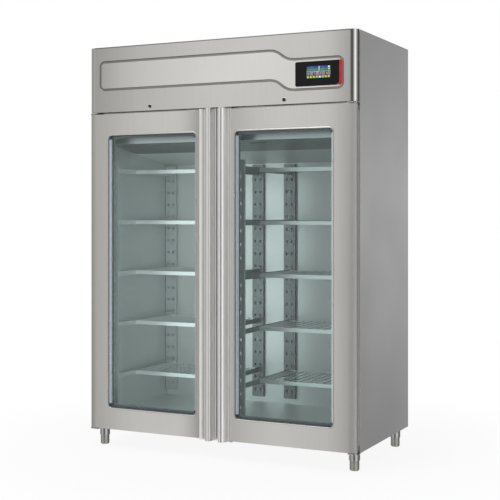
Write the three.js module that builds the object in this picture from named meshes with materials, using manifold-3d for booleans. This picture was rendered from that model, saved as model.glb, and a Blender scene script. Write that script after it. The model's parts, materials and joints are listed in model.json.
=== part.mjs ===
// Dry aging cabinet with two glass doors, in millimetres, +Z up.
// The origin is on the floor under the middle of the cabinet, and its doors face -Y.
// Pieces that come in mirrored pairs are modelled once, on the right-hand side of the cabinet.
import * as THREE from "three";
import { mergeVertices } from "three/addons/utils/BufferGeometryUtils.js";
import Module from "manifold-3d";

const wasm = await Module();
wasm.setup();

// Overall sizes
const WIDTH = 1500;
const DEPTH = 790;
const HEIGHT = 2090;
const FOOT_HEIGHT = 94;
const HEADER_HEIGHT = 340;
const DOOR_DEPTH = 42;
const HANDLE_PROUD = 20;

// Clearances and cutting
const SEAM = 0.3;
const OVERRUN = 5;
const EMBED = 1;

// Facets of round forms
const CORNER_STEPS = 3;
const BEND_STEPS = 8;
const HANDLE_STEPS = 6;
const ROUND_SIDES = 16;
const SMALL_SIDES = 12;

// Insulated body
const SIDE_WALL = 60;
const BACK_WALL = 60;
const FLOOR_THICK = 80;
const CEILING_THICK = 60;
const CASING_THICK = 12;
const MULLION_WIDTH = 80;
const MULLION_DEPTH = 50;
const MULLION_RADIUS = 10;

// Doors
const DOOR_GAP = 5;
const DOOR_RISE = 4;
const DOOR_TOP_GAP = 10;
const SKIN_DEPTH = 24;
const SKIN_INSET = 4;
const EDGE_WIDTH = 40;
const EDGE_DEPTH = 20;
const WINDOW_STILE = 122;
const WINDOW_INNER = 110;
const WINDOW_TOP_RAIL = 112;
const WINDOW_BOTTOM_RAIL = 113;
const WINDOW_RADIUS = 20;
const FRAME_DEPTH = 10;
const FRAME_INSET = 6;
const FRAME_LAP = 14;
const GASKET_WIDTH = 18;
const GASKET_INSET = 20;
const GLASS_THICK = 4;
const GLASS_SET_BACK = 18;
const SPACER_THICK = 8;

// Handle profile, measured across the door from the middle of the cabinet
const LIP_DEPTH = 18;
const LIP_RADIUS = 2;
const RIDGE_FOOT = 17;
const RIDGE_START = 21;
const RIDGE_CREST = 34;
const RIDGE_BEND = 47;
const RIDGE_END = 54;
const SHOULDER_DROP = 13;
const VALLEY_PLACE = 67.5;
const VALLEY_DEPTH = 17.7;
const VALLEY_SHARE = 0.3;
const CHANNEL_END = 90;
const HANDLE_OVERHANG = 7;

// Door hinges
const HINGE_INSET = 14;
const HINGE_BACK = 15;
const PIN_RADIUS = 5;
const PIN_LENGTH = 24;
const BORE_EXTRA = 3;
const BRACKET_THICK = 3.7;
const BRACKET_WIDTH = 50;
const BRACKET_CORNER = 20;
const BRACKET_FLANGE_WIDTH = 14;
const BRACKET_FLANGE_HEIGHT = 36;
const BRACKET_FLANGE_THICK = 3;
const BRACKET_MARGIN = 1;
const BRACKET_FRONT_GAP = 4;
const BRACKET_LAP = 9;
const WASHER_RADIUS = 9;

// Header over the doors
const HEADER_DEPTH = 34;
const HEADER_CORNER = 34;
const FASCIA_THICK = 6;
const FLANGE_THICK = 3;
const HEADER_PIVOT_BACK = 35;
const HEADER_PIVOT_DROP = 7;
const KNUCKLE_RADIUS = 5;
const KNUCKLE_PIN_RADIUS = 2.5;
const KNUCKLE_LENGTH = 60;
const KNUCKLE_INSET = 190;
const KNUCKLE_LEAF = 4;

// Embossed outline on the fascia
const GROOVE_DEPTH = 3;
const GROOVE_HALF_WIDTH = 6.5;
const GROOVE_SIDE_MARGIN = 72;
const GROOVE_LEFT_TOP = 262;
const GROOVE_LEFT_BOTTOM = 118;
const GROOVE_RIGHT_TOP = 212;
const GROOVE_RIGHT_BOTTOM = 66;
const GROOVE_BEND_LENGTH = 134;
const GROOVE_BEND_GAP = 5;
const GROOVE_RADIUS = 24;

// Control panel
const PANEL_WIDTH = 239;
const PANEL_HEIGHT = 118;
const PANEL_SIDE_MARGIN = 76;
const PANEL_RISE = 80;
const PANEL_THICK = 2;
const PANEL_RADIUS = 8;
const PANEL_LARGE_RADIUS = 14;
const PANEL_BODY_MARGIN = 16;
const PANEL_BODY_DEPTH = 22;
const SCREEN_WIDTH = 127;
const SCREEN_HEIGHT = 61;
const SCREEN_LEFT = 57;
const SCREEN_RISE = 35;
const SCREEN_SINK = 3;
const SCREEN_THICK = 2.4;

// Door locks
const LOCK_INSET = 374;
const LOCK_RISE = 21;
const LOCK_FACE_RADIUS = 9;
const LOCK_BARREL_RADIUS = 7.5;
const LOCK_FACE_THICK = 2;
const LOCK_BARREL_END = 13;
const CAM_LENGTH = 40;
const CAM_WIDTH = 9;
const CAM_THICK = 3;
const CAM_CLEARANCE = 2.5;
const KEYHOLE_LENGTH = 8;
const KEYHOLE_WIDTH = 2;
const KEYHOLE_DEPTH = 1.5;

// Feet
const FOOT_INSET = 45;
const FOOT_FRONT_INSET = 43;
const FOOT_BACK_INSET = 80;
const COLLAR_RADIUS = 27;
const COLLAR_FLANGE_RADIUS = 32;
const COLLAR_FLANGE_THICK = 4;
const COLLAR_LENGTH = 44;
const COLLAR_BORE_RADIUS = 24;
const COLLAR_STUD_RADIUS = 12;
const LEG_RADIUS = 23.5;
const LEG_ROUNDING = 8;
const LEG_SCREW_RADIUS = 8;
const LEG_SHOULDER = 36;

// Racks and shelves
const SHELF_COUNT = 5;
const SHELF_FLOOR_GAP = 188;
const SHELF_CEILING_GAP = 232;
const SHELF_INSET = 33;
const SHELF_DEPTH = 380;
const SHELF_RAIL_HEIGHT = 20;
const SHELF_RAIL_DEPTH = 10;
const SHELF_PLATE = 6;
const SHELF_BARS = 12;
const SHELF_BAR_WIDTH = 6;
const SHELF_RIM = 10;
const UPRIGHT_MULLION_GAP = 22;
const UPRIGHT_WALL_GAP = 2;
const UPRIGHT_FRONT_WIDTH = 40;
const UPRIGHT_REAR_WIDTH = 68;
const UPRIGHT_DEPTH = 16;
const UPRIGHT_SHEET = 3;
const UPRIGHT_FRONT_SET_BACK = 78;
const UPRIGHT_FLOOR_GAP = 30;
const UPRIGHT_TOP_GAP = 6;
const HOLE_PITCH = 68.5;
const HOLE_COLUMN_PITCH = 31;
const HOLE_WIDTH = 9;
const HOLE_HEIGHT = 14;
const RUNNER_SHEET = 2;
const RUNNER_HEIGHT = 24;
const RUNNER_LEDGE = 18;

// Evaporator under the ceiling
const EVAPORATOR_SET_BACK = 68;
const EVAPORATOR_FRONT_HEIGHT = 100;
const EVAPORATOR_REAR_HEIGHT = 190;
const EVAPORATOR_SHEET = 3;
const EVAPORATOR_SIDE_GAP = 1;
const AIR_SLOTS = 9;
const AIR_SLOT_WIDTH = 90;
const AIR_SLOT_LENGTH = 14;
const AIR_SLOT_FRONT = 60;
const COIL_FINS = 12;
const COIL_BASE = 14;
const COIL_TUBE_RADIUS = 7;
const COIL_TUBE_SIDES = 4;
const COIL_ROWS = 1;

// Evaporator coil and its fans
const COIL_SIDE_GAP = 139;
const COIL_DEPTH = 150;
const COIL_HEIGHT = 96;
const COIL_BACK_GAP = 70;
const COIL_PLATE = 20;
const EVAPORATOR_FAN_INSET = 250;
const EVAPORATOR_FAN_RADIUS = 40;

// Condensing unit above the ceiling
const TOP_SHEET = 3;
const TOP_FLANGE = 24;
const GRILLE_THICK = 4;
const LOUVRE_ROWS = 10;
const LOUVRE_COLUMNS = 2;
const LOUVRE_HEIGHT = 9;
const LOUVRE_PITCH = 24;
const LOUVRE_RISE = 48;
const LOUVRE_GAP = 48;
const LOUVRE_SIDE_MARGIN = 194;
const TOP_SLOT_COUNT = 9;
const TOP_SLOT_WIDTH = 12;
const TOP_SLOT_LENGTH = 260;
const TOP_SLOT_FIELD = 324;
const COMPRESSOR_RADIUS = 78;
const COMPRESSOR_HEIGHT = 190;
const COMPRESSOR_DOME = 39;
const COMPRESSOR_BACK_GAP = 305;
const COMPRESSOR_FOOT = 24;
const COMPRESSOR_BASE_THICK = 6;
const CONDENSER_WIDTH = 320;
const CONDENSER_HEIGHT = 270;
const CONDENSER_DEPTH = 70;
const CONDENSER_SIDE_GAP = 340;
const CONDENSER_BACK_GAP = 355;
const CONDENSER_FINS = 14;
const CONDENSER_BASE = 18;
const CONDENSER_ROWS = 2;
const SHROUD_DEPTH = 60;
const SHROUD_SHEET = 3;
const SHROUD_RING = 14;
const STRUT_LAP = 4;
const STRUT_THICK = 7;
const STRUT_WIDTH = 14;
const STRUT_TURN = THREE.MathUtils.degToRad(30);
const STRUT_COUNT = 3;
const CONDENSER_FAN_RADIUS = 110;
const FAN_BLADES = 5;
const FAN_TIP_GAP = 6;
const FAN_BLADE_THICK = 3;
const FAN_PITCH = THREE.MathUtils.degToRad(32);
const FAN_HUB_SHARE = 0.3;
const FAN_CHORD_SHARE = 0.48;
const MOTOR_LENGTH = 30;
const MOTOR_SHARE = 0.34;
const PIPE_RADIUS = 5;
const PIPE_STEPS = 14;
const PIPE_SIDES = 8;
const CONTROL_BOX_WIDTH = 220;
const CONTROL_BOX_DEPTH = 160;
const CONTROL_BOX_HEIGHT = 110;
const CONTROL_BOX_SIDE_GAP = 80;
const CONTROL_BOX_FRONT_GAP = 63;
const CONTROL_BOX_RADIUS = 8;
const GLAND_RADIUS = 13;
const GLAND_NECK_RADIUS = 10;
const GLAND_BORE_RADIUS = 5;
const GLAND_LENGTH = 16;
const GLAND_SIDE_GAP = 190;
const GLAND_RISE = 60;

// Planes that several pieces share
const HALF = WIDTH / 2;
const HANDLE_FRONT = -DEPTH / 2;
const BACK = DEPTH / 2;
const FRONT = HANDLE_FRONT + HANDLE_PROUD;
const CARCASS_FRONT = FRONT + DOOR_DEPTH;
const DECK = HEIGHT - HEADER_HEIGHT;
const CEILING = DECK - CEILING_THICK;
const FLOOR = FOOT_HEIGHT + FLOOR_THICK;
const INNER_SIDE = HALF - SIDE_WALL;
const INNER_BACK = BACK - BACK_WALL;
const DOOR_BOTTOM = FOOT_HEIGHT + DOOR_RISE;
const DOOR_TOP = DECK - DOOR_TOP_GAP;
const DOOR_INNER = DOOR_GAP / 2;
const HINGE_X = HALF - HINGE_INSET;
const HINGE_Y = FRONT + HINGE_BACK;
const PIVOT_Y = FRONT + HEADER_PIVOT_BACK;
const PIVOT_Z = HEIGHT - HEADER_PIVOT_DROP;
const LOCK_PLACE = HALF - LOCK_INSET;
const LOCK_Z = DECK + LOCK_RISE;
const KNUCKLE_PLACE = HALF - KNUCKLE_INSET;
const PANEL_LEFT = HALF - PANEL_SIDE_MARGIN - PANEL_WIDTH;

// Finishes
function finish(color, roughness, metalness) {
  return new THREE.MeshStandardMaterial({ color, roughness, metalness });
}
const STEEL = finish(0xb9b7b2, 0.35, 1);
const INNER_STEEL = finish(0x9aa3a2, 0.35, 1);
const BRIGHT_STEEL = finish(0xd4d4d2, 0.2, 1);
const GLASS = finish(0x9fb4b2, 0.05, 0);
GLASS.transparent = true;
GLASS.opacity = 0.35;
const GREY_PLASTIC = finish(0x8d9194, 0.6, 0);
const BLACK_PLASTIC = finish(0x17161a, 0.25, 0);
const SEAL_RUBBER = finish(0x5b6063, 0.8, 0);
const BLACK_METAL = finish(0x1d1e20, 0.5, 0.3);
const COPPER = finish(0xb87345, 0.35, 1);
const ALUMINIUM = finish(0xc3c7c9, 0.4, 1);
const PALE_METAL = finish(0xb4b8b8, 0.5, 0.4);

// A closed geometry as a solid that can be joined and cut
function solid(geometry) {
  const bare = geometry.index ? geometry : geometry.clone();
  bare.deleteAttribute("normal");
  bare.deleteAttribute("uv");
  const merged = mergeVertices(bare);
  return new wasm.Manifold(
    new wasm.Mesh({
      numProp: 3,
      vertProperties: merged.attributes.position.array,
      triVerts: new Uint32Array(merged.index.array),
    }),
  );
}

// A finished solid as a named mesh
function mesh(name, made, material) {
  const { vertProperties, triVerts } = made.getMesh();
  const geometry = new THREE.BufferGeometry();
  geometry.setAttribute("position", new THREE.BufferAttribute(vertProperties, 3));
  geometry.setIndex(new THREE.BufferAttribute(triVerts, 1));
  geometry.computeVertexNormals();
  const piece = new THREE.Mesh(geometry, material);
  piece.name = name;
  return piece;
}

function join(first, ...others) {
  return others.reduce((whole, other) => whole.add(other), first);
}

function cut(first, ...others) {
  return others.reduce((whole, other) => whole.subtract(other), first);
}

const X_AXIS = new THREE.Vector3(1, 0, 0);
const Y_AXIS = new THREE.Vector3(0, 1, 0);
const Z_AXIS = new THREE.Vector3(0, 0, 1);
const MINUS_Y = new THREE.Vector3(0, -1, 0);
const MINUS_Z = new THREE.Vector3(0, 0, -1);

function turned(geometry, x, y, z) {
  return geometry.applyMatrix4(new THREE.Matrix4().makeBasis(x, y, z));
}

// A block between two corners
function block(x0, x1, y0, y1, z0, z1) {
  const geometry = new THREE.BoxGeometry(x1 - x0, y1 - y0, z1 - z0);
  geometry.translate((x0 + x1) / 2, (y0 + y1) / 2, (z0 + z1) / 2);
  return solid(geometry);
}

// A plan outline (x, y) raised from z0 to z1
function column(shape, z0, z1, curveSegments = CORNER_STEPS) {
  const options = { depth: z1 - z0, bevelEnabled: false, curveSegments };
  return solid(new THREE.ExtrudeGeometry(shape, options).translate(0, 0, z0));
}

// A front outline (x, z) run back from y0 to y1
function slab(shape, y0, y1) {
  const options = { depth: y1 - y0, bevelEnabled: false, curveSegments: CORNER_STEPS };
  const geometry = new THREE.ExtrudeGeometry(shape, options);
  return solid(turned(geometry, X_AXIS, Z_AXIS, MINUS_Y).translate(0, y1, 0));
}

// A side outline (y, z) run across from x0 to x1
function rail(shape, x0, x1) {
  const options = { depth: x1 - x0, bevelEnabled: false, curveSegments: CORNER_STEPS };
  const geometry = new THREE.ExtrudeGeometry(shape, options);
  return solid(turned(geometry, Y_AXIS, Z_AXIS, X_AXIS).translate(x0, 0, 0));
}

function lathe(points, sides) {
  const profile = points.map(([radius, along]) => new THREE.Vector2(radius, along));
  return new THREE.LatheGeometry(profile, sides);
}

// Round forms about a vertical axis, and about an axis that runs front to back
function turnedUp(points, x, y, sides = ROUND_SIDES) {
  return solid(turned(lathe(points, sides), X_AXIS, Z_AXIS, MINUS_Y).translate(x, y, 0));
}

function turnedBack(points, x, z, sides = ROUND_SIDES) {
  return solid(turned(lathe(points, sides), X_AXIS, Y_AXIS, Z_AXIS).translate(x, 0, z));
}

function turnedAcross(points, y, z, sides = SMALL_SIDES) {
  return solid(turned(lathe(points, sides), Y_AXIS, X_AXIS, MINUS_Z).translate(0, y, z));
}

// The profile of a plain round bar from one end to the other
function bar(radius, start, end) {
  return [
    [0, start],
    [radius, start],
    [radius, end],
    [0, end],
  ];
}

// Middles of equal cells between two ends
function middles(start, end, count) {
  const pitch = (end - start) / count;
  return Array.from({ length: count }, (_, i) => start + pitch / 2 + i * pitch);
}

function polygon(points) {
  return new THREE.Shape(points.map(([x, y]) => new THREE.Vector2(x, y)));
}

function rectangle(x0, x1, y0, y1) {
  return polygon([
    [x0, y0],
    [x1, y0],
    [x1, y1],
    [x0, y1],
  ]);
}

// A rectangle with round corners, of which the lower right one can have a radius of its own
function roundedRectangle(x0, x1, y0, y1, radius, lowRight = radius) {
  const shape = new THREE.Shape();
  shape.moveTo(x0 + radius, y0);
  shape.lineTo(x1 - lowRight, y0);
  shape.absarc(x1 - lowRight, y0 + lowRight, lowRight, -Math.PI / 2, 0);
  shape.lineTo(x1, y1 - radius);
  shape.absarc(x1 - radius, y1 - radius, radius, 0, Math.PI / 2);
  shape.lineTo(x0 + radius, y1);
  shape.absarc(x0 + radius, y1 - radius, radius, Math.PI / 2, Math.PI);
  shape.lineTo(x0, y0 + radius);
  shape.absarc(x0 + radius, y0 + radius, radius, Math.PI, 1.5 * Math.PI);
  return shape;
}

// Insulated side wall, which narrows to a casing beside the condensing unit and carries two foot collars
function sideWall() {
  const outline = polygon([
    [INNER_SIDE, FOOT_HEIGHT],
    [HALF, FOOT_HEIGHT],
    [HALF, HEIGHT],
    [HALF - CASING_THICK, HEIGHT],
    [HALF - CASING_THICK, DECK],
    [INNER_SIDE, DECK],
  ]);
  return join(slab(outline, CARCASS_FRONT, BACK), ...FOOT_PLACES.map(footCollar));
}

const FOOT_X = HALF - FOOT_INSET;
const FOOT_PLACES = [CARCASS_FRONT + FOOT_FRONT_INSET, BACK - FOOT_BACK_INSET];
const COLLAR_BOTTOM = FOOT_HEIGHT - COLLAR_LENGTH;
const FLANGE_BOTTOM = FOOT_HEIGHT - COLLAR_FLANGE_THICK;

function footCollar(y) {
  const top = FOOT_HEIGHT - SEAM;
  const profile = [
    [0, FLANGE_BOTTOM],
    [COLLAR_BORE_RADIUS, FLANGE_BOTTOM],
    [COLLAR_BORE_RADIUS, COLLAR_BOTTOM],
    [COLLAR_RADIUS, COLLAR_BOTTOM],
    [COLLAR_RADIUS, FLANGE_BOTTOM],
    [COLLAR_FLANGE_RADIUS, FLANGE_BOTTOM],
    [COLLAR_FLANGE_RADIUS, top],
    [0, top],
  ];
  const stud = bar(COLLAR_STUD_RADIUS, FLANGE_BOTTOM + EMBED, FOOT_HEIGHT + EMBED);
  return join(turnedUp(profile, FOOT_X, y), turnedUp(stud, FOOT_X, y, SMALL_SIDES));
}

// Adjustable leg with a rounded pad, which screws out of its collar
function footLeg() {
  const screwTop = FLANGE_BOTTOM - SEAM;
  const shoulderTop = COLLAR_BOTTOM + LEG_SHOULDER;
  const sole = LEG_RADIUS - LEG_ROUNDING;
  const pad = new THREE.Path();
  pad.moveTo(0, 0);
  pad.lineTo(sole, 0);
  pad.absarc(sole, LEG_ROUNDING, LEG_ROUNDING, -Math.PI / 2, 0);
  pad.lineTo(LEG_RADIUS, shoulderTop);
  pad.lineTo(LEG_SCREW_RADIUS, shoulderTop);
  pad.lineTo(LEG_SCREW_RADIUS, screwTop);
  pad.lineTo(0, screwTop);
  const points = pad.getPoints(CORNER_STEPS).map(({ x, y }) => [x, y]);
  return turnedUp(points, 0, 0);
}

// Wall panels between the two side walls
const PANEL_HALF = INNER_SIDE - SEAM;

function backWall() {
  return block(-PANEL_HALF, PANEL_HALF, INNER_BACK, BACK, FOOT_HEIGHT, DECK);
}

function ceilingPanel() {
  return block(-PANEL_HALF, PANEL_HALF, CARCASS_FRONT, INNER_BACK - SEAM, CEILING, DECK);
}

function floorPanel() {
  return block(-PANEL_HALF, PANEL_HALF, CARCASS_FRONT, INNER_BACK - SEAM, FOOT_HEIGHT, FLOOR);
}

function centreMullion() {
  const half = MULLION_WIDTH / 2;
  const back = CARCASS_FRONT + MULLION_DEPTH;
  const outline = roundedRectangle(-half, half, CARCASS_FRONT, back, MULLION_RADIUS);
  return column(outline, FLOOR + SEAM, CEILING - SEAM);
}

// Door skin: a folded steel pan with a rounded outer edge, round its window
const SKIN_BACK = FRONT + SKIN_DEPTH;
const SKIN_INNER = CHANNEL_END + SEAM;
const SKIN_OUTER = HALF - SKIN_INSET;
const WINDOW_LEFT = WINDOW_INNER;
const WINDOW_RIGHT = HALF - WINDOW_STILE;
const WINDOW_LOW = DOOR_BOTTOM + WINDOW_BOTTOM_RAIL;
const WINDOW_HIGH = DOOR_TOP - WINDOW_TOP_RAIL;

function doorSkin() {
  const plan = new THREE.Shape();
  plan.moveTo(SKIN_INNER, FRONT);
  plan.lineTo(SKIN_OUTER - EDGE_WIDTH, FRONT);
  plan.absellipse(SKIN_OUTER - EDGE_WIDTH, FRONT + EDGE_DEPTH, EDGE_WIDTH, EDGE_DEPTH, -Math.PI / 2, 0);
  plan.lineTo(SKIN_OUTER, SKIN_BACK);
  plan.lineTo(SKIN_INNER, SKIN_BACK);
  const bore = PIN_RADIUS + SEAM;
  const boreDepth = PIN_LENGTH + BORE_EXTRA;
  const lowBore = bar(bore, DOOR_BOTTOM - OVERRUN, DOOR_BOTTOM + boreDepth);
  const highBore = bar(bore, DOOR_TOP - boreDepth, DOOR_TOP + OVERRUN);
  return cut(
    column(plan, DOOR_BOTTOM, DOOR_TOP, HANDLE_STEPS),
    slab(windowOutline(0), FRONT - OVERRUN, SKIN_BACK + OVERRUN),
    turnedUp(lowBore, HINGE_X, HINGE_Y, SMALL_SIDES),
    turnedUp(highBore, HINGE_X, HINGE_Y, SMALL_SIDES),
    camSlot(DOOR_TOP, LOCK_Z - CAM_LENGTH - CAM_CLEARANCE),
  );
}

// The window's outline, grown by a margin on every side
function windowOutline(margin) {
  return roundedRectangle(
    WINDOW_LEFT - margin,
    WINDOW_RIGHT + margin,
    WINDOW_LOW - margin,
    WINDOW_HIGH + margin,
    WINDOW_RADIUS,
  );
}

// Slot that the lock's cam sweeps through as it turns down, from a top that lies below the lock
const CAM_FRONT = FRONT + LOCK_BARREL_END - CAM_THICK;

function camSlot(top, low) {
  const tip = Math.hypot(CAM_LENGTH, CAM_WIDTH / 2);
  const drop = LOCK_Z - top;
  const left = LOCK_PLACE - CAM_WIDTH / 2 - CAM_CLEARANCE;
  const right = LOCK_PLACE + Math.sqrt(tip ** 2 - drop ** 2) + CAM_CLEARANCE;
  const front = CAM_FRONT - CAM_CLEARANCE;
  const back = CAM_FRONT + CAM_THICK + CAM_CLEARANCE;
  return block(left, right, front, back, low, top + OVERRUN);
}

// Handle: an extruded profile with a sunk lip, a proud ridge to hold and a channel for the fingers
function doorHandle() {
  const lipFront = FRONT + LIP_DEPTH;
  const shoulder = HANDLE_FRONT + SHOULDER_DROP;
  const ridge = new THREE.Vector2(RIDGE_END, shoulder);
  const valley = new THREE.Vector2(VALLEY_PLACE, FRONT + VALLEY_DEPTH);
  const edge = new THREE.Vector2(CHANNEL_END, FRONT);
  const down = valley.clone().lerp(ridge, VALLEY_SHARE);
  const up = valley.clone().lerp(edge, VALLEY_SHARE);
  const plan = new THREE.Shape();
  plan.moveTo(DOOR_INNER, SKIN_BACK);
  plan.lineTo(DOOR_INNER, lipFront + LIP_RADIUS);
  plan.absarc(DOOR_INNER + LIP_RADIUS, lipFront + LIP_RADIUS, LIP_RADIUS, Math.PI, 1.5 * Math.PI);
  plan.lineTo(RIDGE_FOOT, lipFront);
  plan.lineTo(RIDGE_START, shoulder);
  plan.quadraticCurveTo(RIDGE_START, HANDLE_FRONT, RIDGE_CREST, HANDLE_FRONT);
  plan.quadraticCurveTo(RIDGE_BEND, HANDLE_FRONT, ridge.x, ridge.y);
  plan.lineTo(down.x, down.y);
  plan.quadraticCurveTo(valley.x, valley.y, up.x, up.y);
  plan.lineTo(edge.x, edge.y);
  plan.lineTo(CHANNEL_END, SKIN_BACK);
  return column(plan, DOOR_BOTTOM - HANDLE_OVERHANG, DOOR_TOP + HANDLE_OVERHANG, HANDLE_STEPS);
}

// Double glazing: each pane stands in the window with a spacer rim between the two
const OUTER_GLASS_FRONT = FRONT + GLASS_SET_BACK;
const OUTER_GLASS_BACK = OUTER_GLASS_FRONT + GLASS_THICK;
const INNER_GLASS_FRONT = OUTER_GLASS_BACK + SPACER_THICK;

function outerGlass() {
  return slab(windowOutline(-SEAM), OUTER_GLASS_FRONT, OUTER_GLASS_BACK);
}

function innerGlass() {
  const front = INNER_GLASS_FRONT;
  return slab(windowOutline(-SEAM - FRAME_LAP), front, front + GLASS_THICK);
}

// Plastic inner frame that closes the back of the door, with a rim that spaces the outer pane
const FRAME_FRONT = SKIN_BACK + SEAM;
const FRAME_BACK = FRAME_FRONT + FRAME_DEPTH;
const FRAME_OUTER = HALF - FRAME_INSET;

function doorInnerFrame() {
  const low = DOOR_BOTTOM + FRAME_INSET;
  const high = DOOR_TOP - FRAME_INSET;
  const outline = rectangle(DOOR_INNER, FRAME_OUTER, low, high);
  const rimFront = OUTER_GLASS_BACK + SEAM;
  const rim = slab(windowOutline(-SEAM), rimFront, FRAME_FRONT + EMBED);
  const opening = slab(windowOutline(-FRAME_LAP), rimFront - OVERRUN, FRAME_BACK + OVERRUN);
  return cut(join(slab(outline, FRAME_FRONT, FRAME_BACK), rim), opening);
}

// Magnetic gasket, a ribbed ring on the back of the inner frame
const GASKET_FRONT = FRAME_BACK + SEAM;
const GASKET_BACK = CARCASS_FRONT - SEAM;

function doorGasket() {
  const left = DOOR_INNER;
  const right = FRAME_OUTER - GASKET_INSET + FRAME_INSET;
  const low = DOOR_BOTTOM + GASKET_INSET;
  const high = DOOR_TOP - GASKET_INSET;
  const w = GASKET_WIDTH;
  return cut(
    slab(rectangle(left, right, low, high), GASKET_FRONT, GASKET_BACK),
    slab(rectangle(left + w, right - w, low + w, high - w), GASKET_FRONT - OVERRUN, GASKET_BACK + OVERRUN),
  );
}

// Hinge bracket under a door corner: a plate with a pin, and a flange up the front of the wall
function hingeBracket(plateBack) {
  const right = HALF - BRACKET_MARGIN;
  const top = FOOT_HEIGHT - SEAM;
  const plate = column(bracketPlan(right, plateBack), top - BRACKET_THICK, top, HANDLE_STEPS);
  const flangeBack = CARCASS_FRONT - SEAM;
  const flange = block(
    right - BRACKET_FLANGE_WIDTH,
    right,
    flangeBack - BRACKET_FLANGE_THICK,
    flangeBack,
    top - BRACKET_THICK,
    top + BRACKET_FLANGE_HEIGHT,
  );
  const washer = bar(WASHER_RADIUS, top - EMBED, DOOR_BOTTOM - SEAM);
  const pin = bar(PIN_RADIUS, top - EMBED, DOOR_BOTTOM + PIN_LENGTH);
  return join(
    plate,
    flange,
    turnedUp(washer, HINGE_X, HINGE_Y, SMALL_SIDES),
    turnedUp(pin, HINGE_X, HINGE_Y, SMALL_SIDES),
  );
}

// The bracket's plate from above, rounded at the corner that the door's edge turns round
function bracketPlan(right, back) {
  const front = FRONT + BRACKET_FRONT_GAP;
  const r = BRACKET_CORNER;
  const plan = new THREE.Shape();
  plan.moveTo(right - BRACKET_WIDTH, back);
  plan.lineTo(right - BRACKET_WIDTH, front);
  plan.lineTo(right - r, front);
  plan.absarc(right - r, front + r, r, -Math.PI / 2, 0);
  plan.lineTo(right, back);
  return plan;
}

// The embossed outline's centre line on the fascia, as points (x, z)
const GROOVE_END = HALF - GROOVE_SIDE_MARGIN;
const GROOVE_BEND_END = PANEL_LEFT - GROOVE_BEND_GAP;
const GROOVE_BEND_START = GROOVE_BEND_END - GROOVE_BEND_LENGTH;

function grooveLine() {
  const leftTop = DECK + GROOVE_LEFT_TOP;
  const leftBottom = DECK + GROOVE_LEFT_BOTTOM;
  const rightTop = DECK + GROOVE_RIGHT_TOP;
  const rightBottom = DECK + GROOVE_RIGHT_BOTTOM;
  const bendMiddle = (GROOVE_BEND_START + GROOVE_BEND_END) / 2;
  const r = GROOVE_RADIUS;
  const line = new THREE.Path();
  line.moveTo(-GROOVE_END, leftBottom + r);
  line.absarc(-GROOVE_END + r, leftBottom + r, r, Math.PI, 1.5 * Math.PI);
  line.lineTo(GROOVE_BEND_START, leftBottom);
  line.bezierCurveTo(bendMiddle, leftBottom, bendMiddle, rightBottom, GROOVE_BEND_END, rightBottom);
  line.lineTo(GROOVE_END - r, rightBottom);
  line.absarc(GROOVE_END - r, rightBottom + r, r, -Math.PI / 2, 0);
  line.lineTo(GROOVE_END, rightTop - r);
  line.absarc(GROOVE_END - r, rightTop - r, r, 0, Math.PI / 2);
  line.lineTo(GROOVE_BEND_END, rightTop);
  line.bezierCurveTo(bendMiddle, rightTop, bendMiddle, leftTop, GROOVE_BEND_START, leftTop);
  line.lineTo(-GROOVE_END + r, leftTop);
  line.absarc(-GROOVE_END + r, leftTop - r, r, Math.PI / 2, Math.PI);
  line.closePath();
  const points = line.curves.flatMap((curve) => {
    if (curve.isLineCurve) return [curve.getPoint(0)];
    return curve.getPoints(curve.isEllipseCurve ? CORNER_STEPS + 1 : BEND_STEPS).slice(0, -1);
  });
  return points.filter((point, i) => i === 0 || point.distanceTo(points[i - 1]) > EMBED);
}

// A ring swept along a closed outline (x, z), with its section given as (offset outwards, depth)
function sweptRing(line, section) {
  const closed = line[0].distanceTo(line.at(-1)) < EMBED ? line.slice(0, -1) : line;
  const count = closed.length;
  const positions = [];
  closed.forEach((point, i) => {
    const before = closed[(i + count - 1) % count];
    const after = closed[(i + 1) % count];
    const along = after.clone().sub(before).normalize();
    for (const [offset, depth] of section)
      positions.push(point.x + along.y * offset, FRONT + depth, point.y - along.x * offset);
  });
  const size = section.length;
  const index = [];
  for (let i = 0; i < count; i++)
    for (let j = 0; j < size; j++) {
      const a = i * size + j;
      const b = i * size + ((j + 1) % size);
      const c = ((i + 1) % count) * size + j;
      const d = ((i + 1) % count) * size + ((j + 1) % size);
      index.push(a, b, c, b, d, c);
    }
  const geometry = new THREE.BufferGeometry();
  geometry.setAttribute("position", new THREE.Float32BufferAttribute(positions, 3));
  geometry.setIndex(index);
  return solid(geometry);
}

// A shallow groove with sloping sides
function embossedGroove() {
  const floorHalf = GROOVE_HALF_WIDTH - GROOVE_DEPTH;
  const section = [
    [GROOVE_HALF_WIDTH, -EMBED],
    [GROOVE_HALF_WIDTH, 0],
    [floorHalf, GROOVE_DEPTH],
    [-floorHalf, GROOVE_DEPTH],
    [-GROOVE_HALF_WIDTH, 0],
    [-GROOVE_HALF_WIDTH, -EMBED],
  ];
  return sweptRing(grooveLine(), section);
}

// Header fascia: a folded panel that tips up on two knuckles, with openings for the controls and locks
const HEADER_BACK = FRONT + HEADER_DEPTH;
const FASCIA_END = HALF - HEADER_CORNER;
const FASCIA_BACK = FRONT + FASCIA_THICK;

function headerFascia() {
  const end = FASCIA_END - SEAM;
  const plate = block(-end, end, FRONT, FASCIA_BACK, DECK, HEIGHT);
  const topFlangeBack = PIVOT_Y - KNUCKLE_RADIUS - SEAM;
  const topFlange = block(-end, end, FRONT, topFlangeBack, HEIGHT - FLANGE_THICK, HEIGHT);
  const bottomFlange = block(-end, end, FRONT, CARCASS_FRONT - SEAM, DECK, DECK + FLANGE_THICK);
  const pan = join(plate, topFlange, bottomFlange, ...[-1, 1].map(headerKnuckle));
  const bores = [-1, 1].flatMap((side) => [lockOpening(side), knuckleBore(side)]);
  return cut(pan, embossedGroove(), panelOpening(), ...bores);
}

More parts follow.
